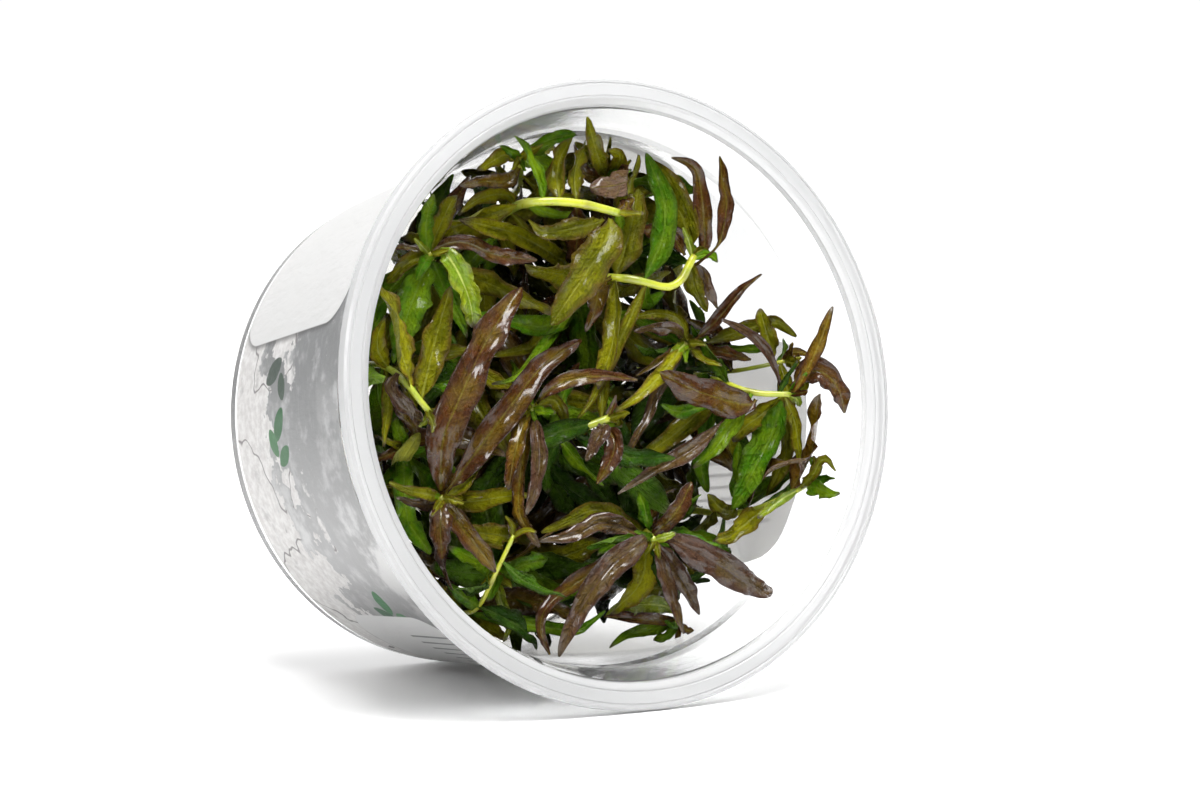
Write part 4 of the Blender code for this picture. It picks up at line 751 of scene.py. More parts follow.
def place_leaves(space, stems):
    """The leaves of the list: those with a name, and the rest by the stem that they are grown onto."""
    single, fused = [], {name: [] for name in stems}
    starts = starts_on(stems.items(), *STARTS)
    for leaf in LEAVES:
        name, colour, width, roll, stalk, points = leaf
        found = fit_leaf(space, stems, starts, leaf)
        if found is None:
            continue
        stem, path, roll = found
        entry = (path, width, roll, stalk, colour)
        if name:
            single.append(("leaf_" + name, entry))
        else:
            fused[stem].append(entry)
    return single, fused


def place_fillers(space, stems, single, fused):
    """Larger leaves behind the others: first where they close gaps between them, then anywhere."""
    chance = random.Random(SEED)
    covered = cells_of(single, fused)
    made = 0
    for turn in range(FILLER_TRIES):
        if made == FILLERS:
            break
        stem = chance.choice(sorted(stems))
        path, width, roll = filler(chance, stems[stem][1])
        grown = blade_rings(path, width, roll, FILLER_STALK, FILLER_CHECKS, CLEARANCE)
        hidden = all(in_outline(point) for ring in grown for point in ring)
        if not (hidden and inside_cup(grown) and space.free(grown)):
            continue
        cells = cells_behind(grown)
        if turn > GAP_TRIES or len(cells - covered) >= FRESH_CELLS:
            space.take(grown)
            covered |= cells
            fused[stem].append((path, width, roll, FILLER_STALK, "shaded"))
            made += 1


def tone_for(chance, path):
    """Green and olive towards the upper left of the picture, browner elsewhere and darker there with more of
    the dark tone, which is painted shade.
    """
    u, v = picture(path[len(path) // 2])
    return chance.choice(LEAFY_TONES if v > GREEN_ABOVE + u else SHADED_TONES)


def may_cover(point):
    """Behind the leaves of the picture, or at the left, where they fill the mouth to its edge."""
    return in_outline(point) or picture(point)[0] < FULL_LEFT


def open_cells(covered):
    """Cells that the mouth shows and no leaf covers yet."""
    found = []
    across = int(FLANGE_RADIUS / CELL)
    for cell in itertools.product(range(-across, across + 1), repeat=2):
        spot = seen(cell[0] * CELL, cell[1] * CELL, 0.0)
        in_mouth = depth_and_radius(spot)[1] < MOUTH_RADIUS + OVER_EDGE
        if cell not in covered and may_cover(spot) and in_mouth:
            found.append(cell)
    return found


def leaf_between(chance, stem, start, goal):
    """A bent leaf that starts on a stem and ends a little past the goal."""
    way = goal - start
    tip = goal + way * chance.uniform(0.1, 0.4)
    side = Quaternion(way.normalized(), chance.uniform(0, 2 * math.pi)) @ way.orthogonal().normalized()
    middle = start.lerp(tip, 0.5) + side * way.length * chance.uniform(0.05, 0.3)
    width = way.length * chance.uniform(0.26, 0.42)
    return stem, smooth([start, middle, tip]), width, chance.uniform(-65, 65)


def leaf_into(chance, spots, cell):
    """A leaf that reaches across an open cell of the picture, from a stem nearby."""
    goal = seen(cell[0] * CELL, cell[1] * CELL, chance.uniform(*GAP_DEPTHS))
    near = [spot for spot in spots if GAP_REACH[0] < (spot[1] - goal).length < GAP_REACH[1]]
    return leaf_between(chance, *chance.choice(near), goal) if near else None


def little_leaf(chance, spots):
    """A short leaf anywhere along a stem."""
    stem, start = chance.choice(spots)
    way = Vector([chance.gauss(0, 1) for _ in range(3)]).normalized()
    return leaf_between(chance, stem, start, start + way * chance.uniform(*LITTLE_LENGTH))


def place_more(space, stems, single, fused):
    """Little leaves beside the larger ones: first where they close gaps, then anywhere."""
    chance = random.Random(MORE_SEED)
    larger = [tree for tree, low, high in space.taken]
    covered = cells_of(single, fused, SLIM)
    gaps = open_cells(covered)
    spots = starts_on(sorted(stems.items()), *MORE_STARTS)
    for turn in range(GAP_LEAF_TRIES + LITTLE_TRIES):
        closing = turn < GAP_LEAF_TRIES
        if closing and not gaps:
            continue
        found = leaf_into(chance, spots, chance.choice(gaps)) if closing else little_leaf(chance, spots)
        if found is None:
            continue
        stem, path, width, roll = found
        if any(depth_and_radius(point)[0] < MORE_DEPTH for point in path):
            continue
        grown = blade_rings(path, width, roll, FILLER_STALK, FILLER_CHECKS)
        if not (all(may_cover(point) for ring in grown for point in ring) and inside_cup(grown)):
            continue
        beside = all(any(tree.find_nearest(p, BESIDE)[0] for tree in larger) for p in path[4::2])
        if beside and space.free(grown):
            leaf = (path, width, roll, FILLER_STALK, tone_for(chance, path))
            space.take(grown)
            fused[stem].append(leaf)
            covered |= leaf_cells(leaf, SLIM)
            gaps = [cell for cell in gaps if cell not in covered]


def grow():
    """All stems as (radius, path), and leaves as (path, width, roll, stalk, colour)."""
    space = Space()
    stems = {name: (radius, stem_path(points)) for name, (radius, points) in STEMS.items()}
    for radius, path in stems.values():
        space.take(tube_rings(path, radius + CLEARANCE, STEM_SIDES))
    single, fused = place_leaves(space, stems)
    place_fillers(space, stems, single, fused)
    place_more(space, stems, single, fused)
    return stems, single, fused


def tip_leaves(chance, path):
    """Young leaves that close round the end of a stem, as blade entries."""
    way = (path[-1] - path[-2]).normalized()
    spot = path[-1] - way * 0.6
    first = way.orthogonal().normalized()
    leaves = []
    for number in range(TIP_LEAVES):
        angle = number * 2.4 + chance.uniform(-0.4, 0.4)
        out = Quaternion(way, angle) @ first
        length = chance.uniform(*TIP_LENGTH) * (1 - 0.1 * number)
        spread = chance.uniform(0.35, 1.1)
        middle = spot + (way + out * spread).normalized() * length * 0.55
        tip = middle + (way * chance.uniform(-0.3, 0.8) + out).normalized() * length * 0.45
        colour = chance.choice(TIP_TONES)
        leaves.append((smooth([spot, middle, tip]), length * chance.uniform(0.26, 0.38), 0.0, 0.03, colour))
    return leaves


def link(name, data):
    """A new object of the scene that holds a mesh, a lamp or a camera."""
    made = bpy.data.objects.new(name, data)
    bpy.context.scene.collection.objects.link(made)
    return made


class Body:
    """One piece's mesh in the making: points, faces, their material and two named vectors."""

    def __init__(self):
        self.points = []
        self.faces = []
        self.slots = []
        self.blade = []
        self.tone = []

    def grid(self, rows, slot, blade, tone, closed=False):
        """Faces between rows of points; a closed grid joins each row's last point to its first."""
        start = len(self.points)
        wide = len(rows[0])
        for row, blade_row, tone_row in zip(rows, blade, tone):
            self.points += row
            self.blade += blade_row
            self.tone += tone_row
        for i in range(len(rows) - 1):
            for j in range(wide if closed else wide - 1):
                a = start + i * wide + j
                b = start + i * wide + (j + 1) % wide
                self.faces.append((a, b, b + wide, a + wide))
                self.slots.append(slot)
        return start

    def face(self, corners, slot):
        self.faces.append(tuple(corners))
        self.slots.append(slot)

    def finish(self, name, materials):
        mesh = bpy.data.meshes.new(name)
        mesh.from_pydata([tuple(p * MM) for p in self.points], [], self.faces)
        for finish in materials:
            mesh.materials.append(finish)
        mesh.polygons.foreach_set("material_index", self.slots)
        for label, values in (("blade", self.blade), ("tone", self.tone)):
            layer = mesh.attributes.new(label, "FLOAT_VECTOR", "POINT")
            layer.data.foreach_set("vector", np.array(values, np.float32).ravel())
        mesh.shade_smooth()
        return link(name, mesh)


def frames_along(path, roll, twist, count):
    """Spot, side and normal at even steps; the blade faces the viewer as the solid one does."""
    frames = []
    side = None
    for i in range(count):
        share = i / (count - 1)
        spot = along(path, share)[0]
        way = heading(path, share, LEAF_WINDOW)
        turn = roll if side is None else roll + twist * (share - 0.25)
        wanted = facing_side(spot, way, side, turn)
        if wanted is not None:
            side = (wanted if side is None else side).lerp(wanted, TURN_EASE)
        side = squared(side, way)
        frames.append((share, spot, side.copy(), side.cross(way)))
    return frames


def held_in(point):
    """A point kept off the wall of the cup."""
    depth, radius = depth_and_radius(point)
    most = room(max(depth, 0.0)) - 0.15
    if radius <= most:
        return point
    axis_spot = CENTRE - AXIS_OUT * depth
    return axis_spot + (point - axis_spot) * (most / radius)


class Margin:
    """How one half of a blade bends up or down and how its edge runs."""

    def __init__(self, chance, fold, width):
        self.fold = fold
        self.bend = math.radians(chance.gauss(8, 30))
        self.swing = math.radians(chance.uniform(8, 52))
        self.turns = chance.uniform(0.4, 1.5)
        self.waves = chance.uniform(1.2, 3.2)
        self.ripple = chance.uniform(0.15, 1.1) * min(1.0, width / 5.0)
        self.fray = chance.uniform(0.04, 0.15)
        self.start = chance.uniform(0, 2 * math.pi)

    def section(self, share, half):
        """(across, up) in millimetres at each step from the midrib to the edge."""
        turn = 2 * math.pi * share
        bend = self.bend + self.swing * math.sin(self.turns * turn + self.start)
        uneven = math.sin(self.waves * 1.3 * turn + self.start * 2) + 0.3 * math.sin(self.waves * 2.9 * turn)
        half *= 1 + self.fray * uneven
        wave = math.sin(self.waves * turn + self.start) + 0.35 * math.sin(self.waves * 2.7 * turn)
        across, up, before = 0.0, 0.0, 0.0
        spots = [(0.0, 0.0)]
        for step in HALF_STEPS:
            slope = self.fold + bend * ((step + before) / 2) ** 2
            across += math.cos(slope) * (step - before) * half
            up += math.sin(slope) * (step - before) * half
            spots.append((across, up + self.ripple * step ** 2.5 * wave * min(1.0, half / 1.2)))
            before = step
        return spots


class BladeShape:
    """The chance form of one blade: its margins, twist, droop, tip and dents."""

    def __init__(self, chance, path, width, fine):
        fold = math.radians(chance.uniform(4, 30))
        self.margins = (Margin(chance, fold, width), Margin(chance, fold, width))
        self.length = path_length(path)
        self.twist = chance.uniform(-1, 1) * (FINE_TWIST if fine else LITTLE_TWIST)
        self.droop = chance.uniform(-1.6, 2.6) * min(1.0, self.length / 18)
        self.lot = chance.random()
        self.blunt = chance.uniform(0.8, 2.0)
        self.dents = Vector((chance.uniform(0, 90), chance.uniform(0, 90), 0.0))
        self.deep = chance.uniform(0.3, 1.4) * min(1.0, width / 5.0)

    def half_width(self, share, width, stalk):
        """Half the width at a share of the length, a little rounder than a point at the tip."""
        if share == 1.0:
            return 0.2
        round_tip = self.blunt * math.sqrt(1 - share) if share > 0.7 else 0.0
        return max(STALK_WIDTH / 2, width / 2 * max(blade_width(share, stalk), round_tip))

    def row(self, half, share, spot, side, normal):
        """Front and back points across the blade, their places on it, and their tone."""
        spot = spot - normal * self.droop * max(0.0, share - 0.55) ** 2 * 4
        left = [(-across, up) for across, up in self.margins[0].section(share, half)]
        right = self.margins[1].section(share, half)
        front, back, blade_front, blade_back, tone = [], [], [], [], []
        for (across, up), edge in zip(left[::-1] + right[1:], ALL_STEPS):
            thick = (BLADE_THICK + (EDGE_THICK - BLADE_THICK) * edge ** 1.5) / 2
            thick *= 0.6 if share in (0.0, 1.0) else 1.0
            rib = 0.12 * math.exp(-(edge * half / 0.28) ** 2) * (1 - 0.7 * share)
            down, out = share * self.length, math.copysign(edge * half, across)
            dent = noise.noise(Vector((down / DENT_SIZE, out / DENT_SIZE, 0.0)) + self.dents)
            up += self.deep * dent * min(1.0, edge * half / 1.2)
            middle = held_in(spot + side * across + normal * up)
            front.append(middle + normal * (thick - rib))
            back.append(middle - normal * (thick + rib * 1.4))
            blade_front.append((down, out, 1.0))
            blade_back.append((down, out, 0.0))
            tone.append((share, edge, self.lot))
        return front, back, blade_front, blade_back, tone


def close_blade(body, front, back, wide, steps, slot):
    """Faces round the edge of a blade, between its front and its back."""
    for i in range(0, (steps - 1) * wide, wide):
        low, high = front + i, front + i + wide
        under, over = back + i, back + i + wide
        body.face((low + wide - 1, under, over, high + wide - 1), slot)
        body.face((under + wide - 1, low, high, over + wide - 1), slot)
    last = (steps - 1) * wide
    for start, other, order in ((front, back, 1), (front + last, back + last, -1)):
        for j in range(wide - 1):
            quad = (start + j, other + wide - 1 - j, other + wide - 2 - j, start + j + 1)
            body.face(quad[::order], slot)


def grow_blade(body, path, width, roll, stalk, slot, chance, steps):
    """One leaf as a thin closed blade: folded at the midrib, twisted, waved at its edges."""
    shape = BladeShape(chance, path, width, steps > LITTLE_STEPS)
    rows = [
        shape.row(shape.half_width(at[0], width, stalk), *at)
        for at in frames_along(path, roll, shape.twist, steps)
    ]
    front, back, blade_front, blade_back, tone = zip(*rows)
    mirrored = [[row[::-1] for row in part] for part in (front, blade_front, tone)]
    front_start = body.grid(mirrored[0], slot, *mirrored[1:])
    back_start = body.grid(back, slot, blade_back, tone)
    close_blade(body, front_start, back_start, len(front[0]), steps, slot)


def grow_stem(body, path, radius, slot):
    """A round stem with swollen joints."""
    curve = smooth(list(path), 2)
    length = path_length(curve)
    count = max(12, int(length / ROUND_STEP))
    angles = [2 * math.pi * k / ROUND_SIDES for k in range(ROUND_SIDES)]
    rows, blade, tone = [], [], []
    side = None
    for i in range(count + 1):
        share = i / count
        spot = along(curve, share)[0]
        way = heading(curve, share, STEM_WINDOW)
        side = squared(way.orthogonal().normalized() if side is None else side, way)
        other = way.cross(side)
        down = share * length
        joint = math.exp(-((down % JOINT_STEP - JOINT_STEP / 2) / 0.9) ** 2)
        wide = radius * (1 - (1 - STEM_TAPER) * share) * (0.93 + 0.13 * joint)
        rows.append([
            spot + (side * math.cos(a) + other * math.sin(a)) * (wide * (1 + 0.05 * math.cos(4 * a)))
            for a in angles
        ])
        blade.append([(down, a, 1.0) for a in angles])
        tone.append([(share, joint, 0.5)] * ROUND_SIDES)
    start = body.grid(rows, slot, blade, tone, closed=True)
    last = start + count * ROUND_SIDES
    body.face(range(start + ROUND_SIDES - 1, start - 1, -1), slot)
    body.face(range(last, last + ROUND_SIDES), slot)


class Nodes:
    """Short calls that build the node tree of a material, or of the world."""

    def __init__(self, made, shader="Principled BSDF"):
        made.use_nodes = True
        self.made = made
        self.tree = made.node_tree
        self.shader = self.tree.nodes[shader]

    def put(self, socket, value):
        if isinstance(value, bpy.types.NodeSocket):
            self.tree.links.new(value, socket)
        elif isinstance(value, tuple) and len(value) == 3 and socket.type == "RGBA":
            socket.default_value = (*value, 1.0)
        else:
            socket.default_value = value

    def set(self, **values):
        """Sets or links the shader's own sockets."""
        for key, value in values.items():
            self.put(self.shader.inputs[key.replace("_", " ")], value)

    def add(self, kind, inputs=(), **settings):
        node = self.tree.nodes.new("ShaderNode" + kind)
        for key, value in settings.items():
            setattr(node, key, value)
        for key, value in dict(inputs).items():
            self.put(node.inputs[key], value)
        return node

    def math(self, operation, a, b=0.0, c=0.0, clamp=False):
        return self.add("Math", {0: a, 1: b, 2: c}, operation=operation, use_clamp=clamp).outputs[0]

    def times(self, a, b, clamp=False):
        return self.math("MULTIPLY", a, b, clamp=clamp)

    def line(self, value, slope, start, clamp=False):
        """The value times a slope, and added to a start."""
        return self.math("MULTIPLY_ADD", value, slope, start, clamp)

    def minus(self, a, b):
        return self.math("SUBTRACT", a, b)

    def size(self, value):
        return self.math("ABSOLUTE", value)

    def power(self, value, exponent):
        return self.math("POWER", value, exponent)

    def step(self, value, low, high, to_low=0.0, to_high=1.0):
        """Smooth step of a value between two limits."""
        inputs = {"Value": value, "From Min": low, "From Max": high, "To Min": to_low, "To Max": to_high}
        return self.add("MapRange", inputs, interpolation_type="SMOOTHSTEP").outputs[0]

    def mix(self, share, a, b, blend="MIX"):
        node = self.add("Mix", data_type="RGBA", blend_type=blend)
        for number, value in ((0, share), (6, a), (7, b)):
            self.put(node.inputs[number], value)
        return node.outputs[2]

    def paint(self, under, colour, mask, strength):
        """A colour over another one, as strong as the mask times a strength."""
        return self.mix(self.times(mask, strength), under, colour)

    def vector(self, x, y, z):
        return self.add("CombineXYZ", {0: x, 1: y, 2: z}).outputs[0]

    def product(self, operation, a, b, output):
        return self.add("VectorMath", {0: a, 1: b}, operation=operation).outputs[output]

    def noise(self, where, scale, detail=3.0, rough=0.55, squeeze=None):
        if squeeze:
            where = self.product("MULTIPLY", where, squeeze, "Vector")
        inputs = {"Vector": where, "Scale": scale, "Detail": detail, "Roughness": rough}
        return self.add("TexNoise", inputs).outputs[0]

    def place(self, kind="Object"):
        return self.add("TexCoord").outputs[kind]

    def painted_depth_shade(self, spot):
        """Painted shade: 1 near the mouth, less where the leaves lie deep in the cup."""
        out = self.product("DOT_PRODUCT", spot, AXIS_OUT, "Value")
        high, low = ((CENTRE.dot(AXIS_OUT) - depth) * MM for depth in SHADE_DEPTHS)
        return self.step(out, low, high, DEEP_SHADE, 1.0)

    def attribute(self, name):
        node = self.add("Attribute", attribute_name=name)
        split = self.add("SeparateXYZ", {0: node.outputs["Vector"]})
        return split.outputs[0], split.outputs[1], split.outputs[2]

    def bump(self, height, strength, distance):
        inputs = {"Height": height, "Strength": strength, "Distance": distance}
        self.set(Normal=self.add("Bump", inputs).outputs[0])

    def let_through(self, share, glow):
        """Mixes in light that comes through a thin sheet."""
        through = self.add("BsdfTranslucent", {"Color": glow}).outputs[0]
        mixed = self.add("MixShader", {0: share, 1: self.shader.outputs[0], 2: through}).outputs[0]
        self.put(self.tree.nodes["Material Output"].inputs["Surface"], mixed)


def material(name):
    return Nodes(bpy.data.materials.new(name))


# Leaf colours: main, second, margin, midrib and veins, back
LEAF_TONES = {
    "lime": (
        (0.27, 0.32, 0.01), (0.15, 0.24, 0.008), (0.16, 0.18, 0.01), (0.50, 0.55, 0.14),
        (0.36, 0.42, 0.10),
    ),
    "green": (
        (0.065, 0.20, 0.003), (0.16, 0.26, 0.004), (0.07, 0.11, 0.005), (0.18, 0.30, 0.03),
        (0.12, 0.22, 0.03),
    ),
    # The dark tone is painted shade: a darker copy of the green for leaves that lie in shade
    "dark": (
        (0.020, 0.065, 0.003), (0.05, 0.11, 0.004), (0.02, 0.03, 0.002), (0.07, 0.12, 0.02),
        (0.05, 0.09, 0.015),
    ),
    "olive": (
        (0.135, 0.145, 0.002), (0.22, 0.215, 0.003), (0.10, 0.05, 0.008), (0.27, 0.28, 0.04),
        (0.16, 0.17, 0.035),
    ),
    "bronze": (
        (0.074, 0.024, 0.005), (0.105, 0.062, 0.002), (0.030, 0.010, 0.005), (0.14, 0.11, 0.014),
        (0.105, 0.060, 0.042),
    ),
    "purple": (
        (0.068, 0.032, 0.017), (0.066, 0.040, 0.008), (0.036, 0.015, 0.011), (0.05, 0.026, 0.017),
        (0.12, 0.08, 0.068),
    ),
}
DRY_COLOUR = (0.10, 0.075, 0.05)
# Share of the light that comes through a leaf, and how wet it looks
SEE_THROUGH = {"lime": 0.35, "green": 0.35, "dark": 0.25, "olive": 0.35, "bronze": 0.15, "purple": 0.12}
GLOSS = {"lime": 0.9, "green": 0.4, "dark": 0.2, "olive": 0.5, "bronze": 0.9, "purple": 1.0}


class LeafNodes(Nodes):
    """A leaf's material, from the place of each point on its blade and noise in the cup."""

    def __init__(self, name):
        super().__init__(bpy.data.materials.new("leaf_" + name))
        self.down, self.out, self.is_front = self.attribute("blade")
        self.share, self.edge, self.lot = self.attribute("tone")
        self.spot = self.place()
        self.patch = self.noise(self.spot, 170.0, 4.0, 0.6)
        self.crumple = self.noise(self.spot, 480.0, 4.0, 0.65)
        self.grain = self.noise(self.spot, 2200.0, 3.0, 0.65)
        flat = self.vector(self.down, self.out, self.times(self.lot, 90.0))
        self.ridge = self.noise(flat, 1.0, 3.0, 0.55, (0.24, 1.15, 1.0))
        self.side = self.size(self.out)
        self.vein = self.side_veins()
        thin = self.step(self.share, 0.95, 0.1, 0.10, 0.30)
        worn = self.step(self.patch, 0.2, 0.55, 0.15, 0.75)
        self.midrib = self.times(self.step(self.side, thin, 0.05), worn)

    def side_veins(self):
        wander = self.line(self.patch, 2.4, self.times(self.down, 2.9))
        wave = self.math("COSINE", self.minus(wander, self.times(self.side, 2.6)))
        return self.times(self.power(self.line(wave, 0.5, 0.5), 7.0), self.step(self.side, 0.2, 0.6))

    def colours(self, main, second, margin, rib, under):
        """Front and back, lighter and darker in patches and by the leaf's lot, with painted shade that
        deepens with depth in the cup.
        """
        lot_share = self.line(self.minus(self.lot, 0.5), 0.9, self.step(self.patch, 0.36, 0.62))
        second_share = self.line(self.minus(0.45, self.edge), 0.8, lot_share, clamp=True)
        colour = self.mix(second_share, main, second)
        margin_share = self.line(self.minus(self.crumple, 0.5), 1.4, self.step(self.edge, 0.4, 1.05))
        colour = self.mix(self.times(margin_share, 0.85, clamp=True), colour, margin)
        fleck = self.noise(self.spot, 900.0, 4.0, 0.7)
        colour = self.mix(self.step(fleck, 0.60, 0.70, 0.0, 0.8), colour, margin)
        colour = self.mix(self.step(fleck, 0.38, 0.28, 0.0, 0.7), colour, second)
        colour = self.mix(self.midrib, self.paint(colour, rib, self.vein, 0.08), rib)
        dry = self.times(self.step(self.share, 0.88, 1.0), self.step(self.lot, 0.35, 0.6))
        colour = self.mix(dry, colour, DRY_COLOUR)
        below = self.mix(self.times(second_share, 0.5, clamp=True), under, second)
        below = self.paint(self.paint(below, rib, self.vein, 0.25), rib, self.midrib, 0.8)
        colour = self.mix(self.is_front, below, colour)
        # Tone that differs in patches and by the leaf's lot, times painted shade that deepens with depth in
        # the cup
        shade = self.line(self.patch, 0.7, self.line(self.lot, 0.6, 0.15))
        shade = self.times(self.line(self.grain, 0.8, shade), self.painted_depth_shade(self.spot))
        grey = self.add("CombineColor", {0: shade, 1: shade, 2: shade}).outputs[0]
        return self.mix(1.0, colour, grey, "MULTIPLY")

    def surface(self, gloss):
        """Ridges, crumples and veins, and wet places on them."""
        height = self.line(self.grain, 0.15, self.times(self.vein, -0.12))
        height = self.line(self.ridge, 1.1, self.line(self.crumple, 0.8, height))
        self.bump(height, 1.0, 0.0018)
        wet = self.line(self.ridge, 0.6, self.times(self.crumple, 0.4))
        dry_below = 0.53 - 0.1 * gloss
        self.set(
            Roughness=self.step(self.patch, 0.3, 0.7, 0.2, 0.4),
            Specular_IOR_Level=0.1,
            Coat_Weight=self.step(wet, dry_below, dry_below + 0.1, 0.0, gloss),
            Coat_Roughness=0.15,
        )


def leaf_material(name):
    n = LeafNodes(name)
    tones = LEAF_TONES[name]
    colour = n.colours(*tones)
    n.set(Base_Color=colour)
    n.surface(GLOSS[name])
    n.let_through(SEE_THROUGH[name], n.mix(0.5, colour, tones[1]))
    return n.made


def stem_material():
    n = material("shoot_stem")
    share, joint, _ = n.attribute("tone")
    spot = n.place()
    streak = n.noise(spot, 900.0)
    patch = n.noise(spot, 150.0)
    colour = n.mix(n.step(patch, 0.4, 0.65), (0.42, 0.46, 0.015), (0.22, 0.30, 0.02))
    colour = n.paint(colour, (0.55, 0.52, 0.08), streak, 0.35)
    colour = n.mix(n.step(streak, 0.62, 0.72, 0.0, 0.6), colour, (0.20, 0.10, 0.03))
    colour = n.paint(colour, (0.20, 0.17, 0.03), joint, 0.6)
    n.set(Base_Color=colour, Roughness=n.line(streak, 0.25, 0.18), Coat_Weight=0.5, Coat_Roughness=0.12)
    n.bump(streak, 0.5, 0.0002)
    return n.made


def clear_material(name, cloud, grain, colours, roughness, bump, transmission, ior):
    """A see-through material that noise makes uneven in colour, roughness and surface."""
    n = material(name)
    spot = n.place()
    haze = n.noise(spot, *cloud)
    height = n.line(n.noise(spot, *grain[0]), grain[1], haze) if grain else haze
    n.set(
        Base_Color=n.mix(haze, *colours),
        Roughness=n.line(haze, *roughness),
        Transmission_Weight=transmission,
        IOR=ior,
    )
    n.bump(height, *bump)
    return n.made


def clear_plastic():
    shades = (0.95, 0.955, 0.96), (0.98, 0.98, 0.98)
    grain = (700.0, 2.0), 0.2
    return clear_material("clear_plastic", (60.0,), grain, shades, (0.08, 0.03), (0.12, 0.0003), 0.95, 1.49)


def rim_plastic():
    """The thicker moulded rim, a little milky."""
    shades = (0.59, 0.595, 0.60), (0.65, 0.65, 0.65)
    grain = (500.0, 3.0), 0.3
    return clear_material("rim_plastic", (45.0,), grain, shades, (0.12, 0.16), (0.05, 0.0003), 0.52, 1.49)


def jelly_material():
    shades = (0.90, 0.89, 0.84), (0.97, 0.96, 0.93)
    return clear_material("jelly", (90.0, 4.0), None, shades, (0.15, 0.0), (0.3, 0.0006), 0.97, 1.34)


class PrintNodes(Nodes):
    """The label's material, from each point's place on the sheet and noise on its surface."""

    def __init__(self):
        super().__init__(bpy.data.materials.new("printed_label"))
        self.arc, self.depth, self.outside = self.attribute("blade")
        self.flat = self.vector(self.arc, self.depth, 0.0)
        self.cloud = self.noise(self.flat, 0.075, 5.0, 0.62)
        self.blotch = self.noise(self.flat, 0.22, 4.0, 0.6)
        self.mottle = self.noise(self.flat, 0.6, 4.0, 0.65)

    def oval(self, spot, size, turn):
        """1 inside a small leaf shape, 0 outside it."""
        arc, depth = self.minus(self.arc, spot[0]), self.minus(self.depth, spot[1])
        cos, sin = math.cos(math.radians(turn)), math.sin(math.radians(turn))
        a = self.line(arc, cos, self.times(depth, sin))
        b = self.line(arc, -sin, self.times(depth, cos))
        a, b = (self.power(self.size(self.math("DIVIDE", *pair)), 1.7) for pair in zip((a, b), size))
        return self.step(self.math("ADD", a, b), 1.06, 0.94)

    def panel(self, middle, half, corner, soft=0.15):
        """1 inside a rounded rectangle, 0 outside it."""
        over = []
        for value, centre, reach in zip((self.arc, self.depth), middle, half):
            out = self.size(self.minus(value, centre))
            over.append(self.math("MAXIMUM", self.minus(out, reach - corner), 0.0))
        away = self.math("ADD", self.power(over[0], 2.0), self.power(over[1], 2.0))
        return self.step(self.power(away, 0.5), corner + soft, corner - soft)

    def field(self):
        """Clouded grey, paler below the panel, with painted shade over its lower end."""
        streak = self.noise(self.flat, 1.0, 3.0, 0.5, (0.22, 1.6, 1.0))
        lower = self.step(self.arc, PANEL_END, PANEL_END + 55.0)
        clouds = self.times(self.step(self.cloud, 0.5, 0.62), self.times(lower, 1.1))
        field = self.mix(lower, (0.25, 0.255, 0.26), (0.54, 0.54, 0.545))
        field = self.paint(field, (0.20, 0.20, 0.205), self.step(self.depth, 36.0, 16.0), 0.3)
        field = self.paint(field, (0.66, 0.66, 0.665), self.step(self.blotch, 0.50, 0.72), 0.6)
        field = self.paint(field, (0.68, 0.68, 0.68), self.step(streak, 0.55, 0.8), 0.2)
        field = self.mix(clouds, field, (0.78, 0.78, 0.78))
        field = self.mix(self.step(self.mottle, 0.67, 0.74), field, (0.75, 0.74, 0.73))
        # Painted shade: the field darkens from here to the lower end of the label
        return self.paint(field, (0.07, 0.07, 0.07), self.step(self.arc, 166.0, 181.0), 0.6)

    def stone(self):
        """Pale stone with thin dark cracks."""
        crack = self.size(self.minus(self.noise(self.flat, 0.055, 3.0, 0.5), 0.5))
        stone = self.mix(self.step(self.mottle, 0.3, 0.7), (0.68, 0.66, 0.65), (0.90, 0.89, 0.88))
        stone = self.paint(stone, (0.42, 0.41, 0.405), self.step(self.blotch, 0.56, 0.70), 0.5)
        return self.paint(stone, (0.12, 0.10, 0.10), self.step(crack, 0.012, 0.002), 0.85)

    def ground(self):
        """The clouded field, and the band of stone beyond an uneven edge."""
        edge = self.line(self.blotch, 16.0, 28.0)
        edge = self.line(self.step(self.cloud, 0.38, 0.62), 15.0, edge)
        return self.mix(self.step(self.minus(self.depth, edge), -0.6, 1.0), self.field(), self.stone())

    def printed(self, colour):
        """Small leaves, plain white panels with a soft dark edge, and ruled lines."""
        for spot, size, turn, tone in PRINTED_LEAVES:
            mask = self.times(self.oval(spot, size, turn), self.step(self.mottle, 0.2, 0.4, 0.6, 1.0))
            colour = self.mix(mask, colour, tone)
        for middle, half in WHITE_PANELS:
            shade = self.panel((middle[0] + 0.7, middle[1] + 0.1), half, PANEL_CORNER, 0.8)
            colour = self.paint(colour, (0.06, 0.06, 0.06), shade, 0.8)
            colour = self.mix(self.panel(middle, half, PANEL_CORNER), colour, (0.80, 0.80, 0.795))
        part = self.math("FRACT", self.times(self.arc, 0.42))
        lines = self.step(self.size(self.minus(part, 0.5)), 0.36, 0.40)
        for middle, half in RULED:
            ruled = self.times(self.panel(middle, half, 0.8), lines)
            colour = self.paint(colour, (0.08, 0.08, 0.085), ruled, 0.8)
        return colour


def label_material():
    """A printed film: clouded grey, a pale stone-like band, small leaves and plain white panels."""
    n = PrintNodes()
    colour = n.printed(n.ground())
    pale = n.mix(n.mottle, (0.76, 0.75, 0.73), (0.82, 0.81, 0.79))
    n.set(Base_Color=n.mix(n.outside, pale, colour), Roughness=n.line(n.mottle, 0.2, 0.22))
    crease = n.noise(n.flat, 0.32, 4.0, 0.6, (1.0, 0.35, 1.0))
    n.bump(n.line(n.mottle, 0.3, crease), 0.6, 0.0007)
    glow = n.mix(n.times(n.outside, 0.75), (0.97, 0.96, 0.95), colour)
    n.let_through(n.step(n.outside, 0.0, 1.0, 0.8, 0.45), glow)
    return n.made


def between(start, end, share):
    return tuple(a + (b - a) * share for a, b in zip(start, end))


